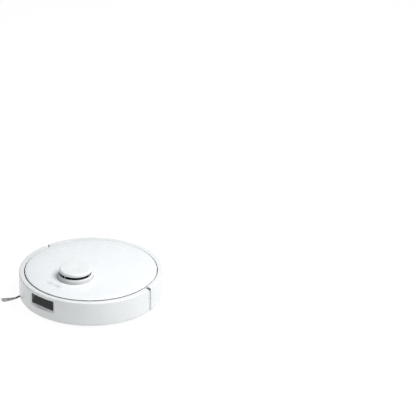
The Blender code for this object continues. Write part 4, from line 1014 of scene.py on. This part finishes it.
# ---- underside -------------------------------------------------------------------------------
def make_chassis():
    low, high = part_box("chassis_base")
    outside, bottom, top = high.x, low.z, high.z
    below, above = bottom - 0.01, top + 0.01
    profile = [(0, top), (outside - 0.0005, top), (outside, top - 0.0005), (outside, bottom + 0.001),
               (outside - 0.001, bottom), (0.158, bottom), (0.1576, bottom + 0.0006),
               (0.1566, bottom + 0.0006), (0.1562, bottom), (0, bottom)]
    cuts = []
    for side in ("left", "right"):
        tyre_low, tyre_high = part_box(side + "_tyre")
        arm_low, arm_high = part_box(side + "_wheel_arm")
        first = min(tyre_low.x - 0.003, arm_low.x - 0.0027)
        last = max(tyre_high.x + 0.003, arm_high.x + 0.0027)
        cuts.append(block((first, tyre_low.y - 0.012, below), (last, tyre_high.y + 0.012, above),
                          0.003))
        cuts.append(round_bar(middle(side + "_mop_plate"), 0.0058, below, above))
        cuts.append(cliff_block(side, GAP, below, above))
    for node, corner in (("brush_cover", 0.003), ("battery_door", 0.004)):
        plate_low, plate_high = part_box(node)
        cuts.append(block((plate_low.x - GAP, plate_low.y - GAP, below),
                          (plate_high.x + GAP, plate_high.y + GAP, above), corner))
    gear_low, gear_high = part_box("brush_gear")
    cuts.append(block((gear_low.x - 0.0008, gear_low.y - 0.0008, below),
                      (gear_high.x + 0.0008, gear_high.y + 0.0008, above)))
    cuts.append(round_bar(middle("caster_socket"), 0.0183, below, above, 64))
    cuts.append(round_bar(middle("side_brush_motor"), 0.0038, below, above, 32))
    speaker = middle("speaker")
    holes = [speaker]
    for ring, count in ((0.0042, 6), (0.0084, 12)):
        holes += [speaker + polar(ring, 360.0 * i / count) for i in range(count)]
    cuts.append(joined(*[round_bar(hole, 0.0010, below, bottom + 0.0012, 16) for hole in holes]))
    cuts.append(joined(*[round_bar(place, 0.0050, below, bottom + 0.0012, 32)
                         for place in chassis_screws()]))
    make("chassis_plate", turned(profile, steps=144), GREY, "base", "chassis_base",
         cuts=cuts, bevel=0.00025)
    screws("chassis_screws", [place + Vector((0, 0, bottom + 0.0012)) for place in chassis_screws()],
           0.0034, "base")
    make_ribs(bottom)
    for side in ("left", "right"):
        low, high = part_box("cliff_sensor_" + side)
        make("cliff_glass_" + side, cliff_block(side, 0.0, low.z, high.z, 0.0015), GLASS, "base",
             "cliff_sensor_" + side, bevel=0.0004)
        make_cliff_lenses(side, low.z)


def chassis_screws():
    return [polar(radius, angle) for radius, angle in
            ((0.150, -14), (0.150, 14), (0.150, -72), (0.150, 72), (0.150, 106), (0.150, -106),
             (0.151, 132), (0.151, -132), (0.151, 180), (0.070, 180), (0.045, 102), (0.045, 258))]


CLIFF_R, CLIFF_ANGLE = 0.149, {"left": 24.0, "right": -24.0}


def cliff_block(side, grow, low, high, corner=0.001):
    """The cliff sensor's block, lying across its radius."""
    half_w, half_d = 0.008 + grow, 0.0045 + grow
    shape = block((-half_w, -CLIFF_R - half_d, low), (half_w, -CLIFF_R + half_d, high), corner)
    return moved(shape, spun(CLIFF_ANGLE[side]))


def make_cliff_lenses(side, bottom):
    dome = [(0, -0.0006), (0.0010, -0.0005), (0.0017, -0.0002), (0.0020, 0.0001),
            (0.0020, 0.0006), (0, 0.0006)]
    lenses = []
    for offset in (-1.6, 1.6):
        place = polar(CLIFF_R, CLIFF_ANGLE[side] + offset, bottom)
        lenses.append(moved(turned(dome, steps=32), Matrix.Translation(place)))
    make("cliff_lenses_" + side, joined(*lenses), GLOW, "base")


def make_ribs(bottom):
    """Raised skids and ribs of the underside."""
    low, high = bottom - 0.0007, bottom + 0.0002
    rib = block((-0.0009, -0.129, bottom - 0.0008), (0.0009, -0.1185, high), 0.0008)
    ribs = [moved(rib, spun(angle)) for angle in (-28, -14, 14, 28)]
    for places, front, back in (((-0.066, -0.044, -0.022, 0.0, 0.022, 0.044, 0.066), -0.0505, -0.0385),
                                ((-0.030, -0.010, 0.010, 0.030), 0.029, 0.052)):
        ribs += [block((x - 0.0008, front, low), (x + 0.0008, back, high), 0.0007) for x in places]
    make("chassis_ribs", joined(*ribs), GREY, "base", bevel=0.0003)
    profile = [(0.1600, bottom + 0.0002), (0.1602, bottom - 0.0008), (0.1618, bottom - 0.0008),
               (0.1620, bottom + 0.0002)]
    skids = [turned(profile, steps_between(first, last, 2.0), closed=True)
             for first, last in ((-34, -6), (6, 34), (112, 168), (192, 248))]
    make("chassis_skids", joined(*skids), GREY, "base")


def make_battery_hatch():
    low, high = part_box("battery_door")
    grooves = [block((x - 0.0008, low.y + 0.012, low.z - 0.01),
                     (x + 0.0008, high.y - 0.012, low.z + 0.0006), 0.0007)
               for x in (-0.044, -0.038, -0.032, 0.032, 0.038, 0.044)]
    corners = [Vector((x, y, 0)) for x in (0.006 - high.x, high.x - 0.006)
               for y in (low.y + 0.006, high.y - 0.006)]
    wells = [round_bar(place, 0.0044, low.z - 0.01, low.z + 0.0012, 32) for place in corners]
    notch = moved(plate(rounded_outline(0.026, 0.010, 0.0048), low.z - 0.01, low.z + 0.0010),
                  shifted(0, low.y + 0.010))
    make("battery_hatch", block(low, high, 0.004, 6), GREY, "base", "battery_door",
         cuts=[joined(*grooves), joined(*wells), notch], bevel=0.0004)
    screws("hatch_screws", [place + Vector((0, 0, low.z + 0.0012)) for place in corners], 0.0032,
           "base")


def make_brush_cover():
    low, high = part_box("brush_cover")
    reach = half("main_brush").x
    mouth = block((-reach - 0.002, low.y + 0.006, low.z - 0.01),
                  (reach + 0.002, high.y - 0.006, high.z + 0.01), 0.003)
    pockets = []
    for side, sign in (("left", 1), ("right", -1)):
        latch_low, latch_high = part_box(side + "_cover_latch")
        outer, inner = (latch_high.x, latch_low.x) if sign > 0 else (latch_low.x, latch_high.x)
        first, last = sorted((outer + sign * 0.0008, inner - sign * 0.0028))
        pockets.append(block((first, low.y - 0.01, low.z - 0.01),
                             (last, latch_high.y + GAP, high.z + 0.01)))
    grooves = [block((x - 0.0009, high.y - 0.0048, low.z - 0.01),
                     (x + 0.0009, high.y - 0.0012, low.z + 0.0006), 0.0008)
               for x in (-0.07 + 0.01 * i for i in range(15))]
    make("brush_guard", block(low, high, 0.003, 6), GREY, "base", "brush_cover",
         cuts=[mouth, joined(*grooves)] + pockets, bevel=0.0004)
    wiper = block((-reach, high.y - 0.0068, low.z - 0.0050),
                  (reach, high.y - 0.0058, low.z + 0.0010), 0.0004)
    make("brush_wiper", wiper, SOFT_RUBBER, "base")
    for side in ("left", "right"):
        latch_low, latch_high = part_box(side + "_cover_latch")
        pitch = (latch_high.x - latch_low.x) / 6
        ridges = [block((latch_low.x + pitch * i - 0.0005, latch_low.y - 0.01, latch_low.z - 0.01),
                        (latch_low.x + pitch * i + 0.0005, latch_high.y + 0.01, latch_low.z + 0.0005))
                  for i in range(1, 6)]
        make(side + "_latch_slider", block(latch_low, latch_high, 0.0010), LATCH, side + "_latch",
             side + "_cover_latch", cuts=[joined(*ridges)], bevel=0.0002)


def make_roller():
    """Rubber brush with six V-shaped fins and end caps."""
    low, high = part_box("main_brush")
    centre = Vector((0, (low.y + high.y) / 2, (low.z + high.z) / 2))
    tip, core, reach = (high.z - low.z) / 2, 0.0110, -low.x
    fins, twist = 6, 62.0
    outline = []
    for index in range(fins):
        start = 360.0 * index / fins
        for angle, radius in ((-13, core), (-7.5, core + 0.0006), (-4.6, core + 0.0024),
                              (-3.2, tip - 0.0010), (-2.0, tip - 0.0001), (2.0, tip - 0.0001),
                              (3.2, tip - 0.0010), (4.6, core + 0.0024), (7.5, core + 0.0006),
                              (13, core), (22, core), (30, core), (38, core)):
            outline.append((radius, start + angle))
    stations = steps_between(-reach + 0.0015, reach - 0.0015, 0.003)
    sections = []
    for x in stations:
        turn = twist * abs(x) / reach
        spokes = [(radius, math.radians(angle + turn)) for radius, angle in outline]
        sections.append([centre + Vector((x, radius * math.cos(spoke), radius * math.sin(spoke)))
                         for radius, spoke in spokes])
    make("roller_fins", lofted(sections), SOFT_RUBBER, "roller_brush", "main_brush",
         sharp=50.0)
    lie = Matrix.Translation(centre) @ ALONG_X
    ends = []
    for sign in (-1, 1):
        flip = spun(180 if sign < 0 else 0, "X")
        cap = [(0, reach + 0.0008), (0.0045, reach + 0.0008), (0.0050, reach), (0.0135, reach),
               (0.0145, reach - 0.0010), (0.0145, reach - 0.0022), (0, reach - 0.0022)]
        ends.append(moved(turned(cap, steps=64), flip))
    shaft = turned([(0, high.x - 0.0002), (0.0026, high.x - 0.0002), (0.0030, high.x - 0.0008),
                    (0.0030, reach - 0.001), (0, reach - 0.001)], steps=32)
    make("roller_ends", moved(joined(*ends, shaft), lie), LATCH, "roller_brush")


# ---- wheels ----------------------------------------------------------------------------------
def tyre_shape(radius, bore, half_w):
    """A tyre about Z with V-shaped tread bars."""
    blocks, depth = 30, 0.0015
    across = steps_between(half_w - 0.0010, -half_w + 0.0010, 0.0011)
    profile = ([(bore, half_w - 0.0006), (bore + 0.0010, half_w), (radius - 0.0026, half_w),
                (radius - 0.0010, half_w - 0.0004)]
               + [(radius, z) for z in across]
               + [(radius - 0.0010, -half_w + 0.0004), (radius - 0.0026, -half_w),
                  (bore + 0.0010, -half_w), (bore, -half_w + 0.0006)])
    angles = [360.0 * i / 300 for i in range(300)]
    verts, rings = [], []
    for reach, z in profile:
        ring = []
        for angle in angles:
            phase = (angle * blocks / 360.0 + 0.9 * abs(z) / half_w) % 1.0
            bar = smooth_step(phase, 0.02, 0.12) * (1.0 - smooth_step(phase, 0.62, 0.72))
            groove = depth * (1.0 - bar) if reach >= radius - 0.0011 else 0.0
            ring.append(polar(reach - groove, angle, z))
        add_ring(verts, rings, ring)
    return verts, ring_faces(rings, True, True)


def make_drive_wheel(side, sign):
    lie = Matrix.Translation(middle(side + "_tyre"))
    if sign < 0:
        lie = lie @ spun(180)
    lie = lie @ ALONG_X
    tyre, wheel = half(side + "_tyre"), half(side + "_wheel")
    body = side + "_drive_wheel"
    make(side + "_tread", moved(tyre_shape(tyre.z, wheel.z + GAP, tyre.x), lie), RUBBER, body,
         side + "_tyre", sharp=38.0)
    rim, face = wheel.z, wheel.x
    profile = [(0, face - 0.0012), (0.0052, face - 0.0012), (0.0060, face - 0.0004),
               (0.0070, face - 0.0004), (0.0078, face - 0.0016), (0.0205, face - 0.0016),
               (0.0215, face - 0.0004),
               (rim - 0.0006, face), (rim, face - 0.0006), (rim, -face), (rim - 0.0025, -face),
               (rim - 0.0025, face - 0.0040), (0, face - 0.0040)]
    pockets = []
    for index in range(5):
        start = 72.0 * index
        sector = [(0.0100, face), (0.0190, face), (0.0190, face - 0.0030), (0.0100, face - 0.0030)]
        pockets.append(turned(sector, steps_between(start + 8, start + 64, 4.0), closed=True))
    make(side + "_hub", moved(turned(profile, steps=96), lie), GREY, body, side + "_wheel",
         cuts=[moved(pocket, lie) for pocket in pockets], bevel=0.0003)

    arm_low, arm_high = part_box(side + "_wheel_arm")
    radius = (arm_high.z - arm_low.z) / 2
    wheel_y, pivot_y = arm_low.y + radius, arm_high.y - radius
    outline = arc((pivot_y, 0), radius, -90, 90, 16) + arc((wheel_y, 0), radius, 90, 270, 16)
    dish = (arc((pivot_y - 0.016, 0), radius - 0.004, -90, 90, 12)
            + arc((wheel_y + 0.016, 0), radius - 0.004, 90, 270, 12))
    middle_z = (arm_high.z + arm_low.z) / 2
    at = shifted(arm_low.x, 0, middle_z) @ ALONG_X
    thick = arm_high.x - arm_low.x
    inner = (-0.01, 0.0012) if sign > 0 else (thick - 0.0012, thick + 0.01)
    make(side + "_swing_lever", moved(plate(outline, 0.0, thick), at), GREY, side + "_swing_arm",
         side + "_wheel_arm", cuts=[moved(plate(dish, *inner), at)], bevel=0.0005)
    face_x = arm_low.x if sign > 0 else arm_high.x
    screws(side + "_pivot_screw", [Vector((face_x, pivot_y, middle_z))], 0.0050, side + "_swing_arm",
           outward=(-sign, 0, 0))


def make_caster():
    low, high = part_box("caster_fork")
    centre = middle("caster_fork")
    wheel_at, wheel = middle("caster_wheel"), half("caster_wheel")
    fork_r, stem_r = half("caster_fork").x, 0.0040
    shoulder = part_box("caster_socket")[1].z - 0.002 - 0.0008
    profile = [(0, high.z), (stem_r - 0.0005, high.z), (stem_r, high.z - 0.0005), (stem_r, shoulder),
               (fork_r, shoulder), (fork_r, low.z + 0.0020)]
    profile += arc((fork_r - 0.0020, low.z + 0.0020), 0.0020, -15, -90, 5) + [(0, low.z)]
    room = block((-wheel.x - 0.0008, wheel_at.y - wheel.z - 0.0008, low.z - 0.01),
                 (wheel.x + 0.0008, wheel_at.y + wheel.z + 0.02, 2 * wheel.z + 0.0008), 0.0010)
    bore = moved(rod(0.0018, -0.03, 0.03), Matrix.Translation(wheel_at) @ ALONG_X)
    make("caster_carrier", moved(turned(profile, steps=96), shifted(0, centre.y)), GREY,
         "caster_yoke", "caster_fork", cuts=[room, bore], bevel=0.0003)
    lie = Matrix.Translation(wheel_at) @ ALONG_X
    reach = half("caster_axle").x
    pin = turned([(0, reach), (0.0011, reach), (0.0015, reach - 0.0005), (0.0015, -reach + 0.0005),
                  (0.0011, -reach), (0, -reach)], steps=32)
    make("caster_pin", moved(pin, lie), CONTACT, "caster_yoke", "caster_axle")
    wide, radius = wheel.x, wheel.z
    tread = [(0.0018, wide), (radius - 0.0040, wide), (radius - 0.0036, wide - 0.0004),
             (radius - 0.0010, wide - 0.0004)]
    tread += arc((radius - 0.0014, wide - 0.0020), 0.0014, 80, 0, 5)
    tread += [(radius, 0.0012), (radius - 0.0006, 0.0008), (radius - 0.0006, -0.0008),
              (radius, -0.0012)]
    tread += arc((radius - 0.0014, -wide + 0.0020), 0.0014, 0, -80, 5)
    tread += [(radius - 0.0010, -wide + 0.0004), (radius - 0.0036, -wide + 0.0004),
              (radius - 0.0040, -wide), (0.0018, -wide)]
    make("caster_roller_wheel", moved(turned(tread, steps=96, closed=True), lie), BLACK,
         "caster_roller", "caster_wheel")
    socket_low, socket_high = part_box("caster_socket")
    thick, hole, top = 0.002, stem_r + 0.0008, socket_high.z
    outer = half("caster_socket").x
    cup = [(hole, top), (outer - 0.0006, top), (outer, top - 0.0006), (outer, socket_low.z),
           (outer - thick, socket_low.z), (outer - thick, top - thick), (hole, top - thick)]
    make("caster_cup", moved(turned(cup, steps=96, closed=True), shifted(0, centre.y)),
         PALE, "base", "caster_socket")


# ---- side brush and mops ---------------------------------------------------------------------
FIRST_ARM = -117.0          # degrees from +X to the arm that reaches out past the bumper


def make_side_brush():
    top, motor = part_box("side_brush")[1].z, middle("side_brush_motor")
    at = shifted(motor.x, motor.y)
    hub_top, hub_low, hub_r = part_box("chassis_base")[0].z - 0.0008, 0.0045, 0.0090
    hub = [(0, top), (0.0030, top), (0.0030, hub_top), (hub_r - 0.0006, hub_top),
           (hub_r, hub_top - 0.0006), (hub_r, hub_low + 0.0016)]
    hub += arc((hub_r - 0.0016, hub_low + 0.0016), 0.0016, -15, -90, 5)
    hub += [(0.0048, hub_low), (0.0044, hub_low + 0.0008), (0, hub_low + 0.0008)]
    make("spinner_hub", moved(turned(hub, steps=64), at), SOFT_RUBBER, "spinner", "side_brush")
    screws("spinner_screw", [Vector((motor.x, motor.y, hub_low + 0.0008))], 0.0034, "spinner")

    line = [(0.0060, 0.0078), (0.0200, 0.0076), (0.0280, 0.0070), (0.0330, 0.0058), (0.0375, 0.0040),
            (0.0420, 0.0030)]
    widths = (0.0042, 0.0038, 0.0035, 0.0034, 0.0033, 0.0030)
    arms, tufts = [], []
    for index in range(3):
        turn = at @ spun(FIRST_ARM + 120.0 * index)
        sections = []
        for (radius, z), wide in zip(line, widths):
            outline = [(-wide, -0.0004), (-wide + 0.0004, -0.0009), (wide - 0.0004, -0.0009),
                       (wide, -0.0004), (wide, 0.0004), (wide - 0.0004, 0.0009), (0.0004, 0.0011),
                       (-0.0004, 0.0011), (-wide + 0.0004, 0.0009), (-wide, 0.0004)]
            sections.append([Vector((radius, y, z + rise)) for y, rise in outline])
        arms.append(moved(lofted(sections), turn))
        tufts += [moved(bristle(row, column), turn) for row in range(4) for column in range(13)]
    make("spinner_arms", joined(*arms), SOFT_RUBBER, "spinner", sharp=45.0)
    make("spinner_bristles", joined(*tufts), BRISTLE, "spinner", sharp=60.0)


def bristle(row, column):
    """One nylon bristle of a tuft that fans out towards its tip."""
    across = (column - 6) / 6.0
    stray = noise.noise(Vector((row * 1.7, column * 0.9, 4.0)))
    reach = 0.0755 + 0.0022 * stray - 0.0022 * abs(across)
    start = Vector((0.0395, across * 0.0026, 0.0026 + 0.0005 * row))
    end = Vector((reach, across * 0.0090 + 0.0012 * stray - 0.0050,
                  0.0006 + 0.0005 * row + 0.0003 * stray))
    path = []
    for step in range(6):
        share = step / 5.0
        point = start.lerp(end, share)
        point.y += 0.0020 * math.sin(math.pi * share)
        point.z += 0.0006 * math.sin(math.pi * share) * (1 if row > 1 else 0.3)
        path.append(point)
    return tube(path, [0.00019 - 0.00003 * step / 5.0 for step in range(6)], sides=5)


def make_mop(side):
    pad_low, pad_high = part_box(side + "_mop_pad")
    centre = middle(side + "_mop_pad")
    radius, thick = half(side + "_mop_pad").x, pad_high.z - pad_low.z
    at = Vector((centre.x, centre.y, 0))
    stand, angles = Matrix.Translation(at), 200
    flat_rings = (0.008, 0.016, 0.024, 0.031, 0.037, 0.042, 0.047, 0.051, 0.0545, 0.0575)
    profile = [(r, 0.0) for r in flat_rings]
    profile += arc((radius - 0.0020, 0.0018), 0.0018, -90, 60, 8) + [(radius - 0.0035, thick - 0.0002)]
    verts, rings = [at.copy() + Vector((0, 0, 0.0004))], [[0]]
    for index, (reach, z) in enumerate(profile):
        ring = []
        for i in range(angles):
            angle = 360.0 * i / angles
            spot = polar(reach, angle, z)
            loop = noise.noise((spot + at) * 520.0) + 0.5 * noise.noise((spot + at) * 1100.0)
            if index < len(flat_rings):
                spot.z = max(0.0, 0.0004 + 0.0005 * loop)
            else:
                spot += polar(0.0007 * loop, angle)
            spot.z = max(0.0, min(spot.z, thick - 0.0001))
            ring.append(at + spot)
        add_ring(verts, rings, ring)
    rings.append([len(verts)])
    verts.append(at + Vector((0, 0, thick - 0.0002)))
    pad = make(side + "_mop_cloth", (verts, ring_faces(rings, True, False)), CLOTH, side + "_mop",
               side + "_mop_pad", sharp=80.0)
    sewn = [(radius - 0.0052, thick - 0.0010), (radius - 0.0050, thick), (radius - 0.0038, thick),
            (radius - 0.0036, thick - 0.0010)]
    make(side + "_mop_binding", moved(turned(sewn, steps=120, closed=True), stand), GREY,
         side + "_mop")
    low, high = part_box(side + "_mop_plate")
    reach = half(side + "_mop_plate").x
    top = low.z + 0.0022
    disc = [(0, high.z), (0.0040, high.z), (0.0050, high.z - 0.0010), (0.0050, top + 0.0008),
            (0.0085, top), (reach - 0.0006, top), (reach, top - 0.0006), (reach, low.z), (0, low.z)]
    wells = []
    for index in range(6):
        sector = [(0.018, top + 0.01), (reach - 0.010, top + 0.01), (reach - 0.010, top - 0.0009),
                  (0.018, top - 0.0009)]
        angles = steps_between(60 * index + 6, 60 * index + 54, 4.0)
        wells.append(moved(turned(sector, angles, closed=True), stand))
    make(side + "_mop_disc", moved(turned(disc, steps=120), stand), GREY, side + "_mop",
         side + "_mop_plate", cuts=wells, bevel=0.0003)


# ---- stage -----------------------------------------------------------------------------------
def make_stage():
    floor_mesh = bpy.data.meshes.new("floor")
    bm = bmesh.new()
    bmesh.ops.create_grid(bm, x_segments=1, y_segments=1, size=30.0)
    bm.to_mesh(floor_mesh)
    bm.free()
    floor = bpy.data.objects.new("floor", floor_mesh)
    bpy.context.scene.collection.objects.link(floor)
    paper = bpy.data.materials.new("studio_paper")
    paper.use_nodes = True
    shader = paper.node_tree.nodes["Principled BSDF"]
    shader.inputs["Base Color"].default_value = (0.15, 0.15, 0.15, 1.0)
    shader.inputs["Roughness"].default_value = 0.9
    shader.inputs["Emission Color"].default_value = (1.0, 1.0, 1.0, 1.0)
    shader.inputs["Emission Strength"].default_value = 0.92
    tree = paper.node_tree
    side, clear, seen = (add(tree, kind) for kind in ("NewGeometry", "BsdfTransparent", "MixShader"))
    wire(tree, (side.outputs["Backfacing"], seen.inputs["Fac"]),
         (shader.outputs["BSDF"], seen.inputs[1]), (clear.outputs["BSDF"], seen.inputs[2]),
         (seen.outputs["Shader"], tree.nodes["Material Output"].inputs["Surface"]))
    floor_mesh.materials.append(paper)

    world = bpy.data.worlds.new("studio")
    world.use_nodes = True
    world.node_tree.nodes["Background"].inputs["Color"].default_value = (0.97, 0.985, 1.0, 1.0)
    world.node_tree.nodes["Background"].inputs["Strength"].default_value = 0.25
    bpy.context.scene.world = world
    bpy.context.scene.view_settings.view_transform = "Standard"

    add_light("key_panel", (0.955, 0.310, 1.6), 1.0, 33.0)
    add_light("top_panel", (0.03, 0.05, 0.55), 0.25, 0.55)


def add_light(name, place, size, power):
    """A square soft light aimed at the robot."""
    data = bpy.data.lights.new(name, "AREA")
    data.size, data.energy = size, power
    light = bpy.data.objects.new(name, data)
    light.location = place
    light.rotation_euler = (-Vector(place)).to_track_quat("-Z", "Y").to_euler()
    light.visible_camera = False
    bpy.context.scene.collection.objects.link(light)


def make_camera():
    """A long lens, a little above the robot and to its left front."""
    data = bpy.data.cameras.new("camera")
    data.sensor_width = 36.0
    data.lens = 389.42
    data.clip_start, data.clip_end = 0.1, 60.0
    camera = bpy.data.objects.new("camera", data)
    camera.location = (6.7592, -7.0780, 5.1740)
    camera.rotation_euler = (math.radians(63.2534), 0.0, math.radians(42.0))
    bpy.context.scene.collection.objects.link(camera)
    bpy.context.scene.camera = camera


make_camera()
make_stage()
dress_frame()
make_bumper()
make_rear_casing()
make_lid()
make_buttons()
make_turret()
make_deck()
make_bin()
make_fan_wheel()
make_chassis()
make_battery_hatch()
make_brush_cover()
make_roller()
for wheel_side, wheel_sign in (("left", 1), ("right", -1)):
    make_drive_wheel(wheel_side, wheel_sign)
make_caster()
make_side_brush()
for mop_side in ("left", "right"):
    make_mop(mop_side)
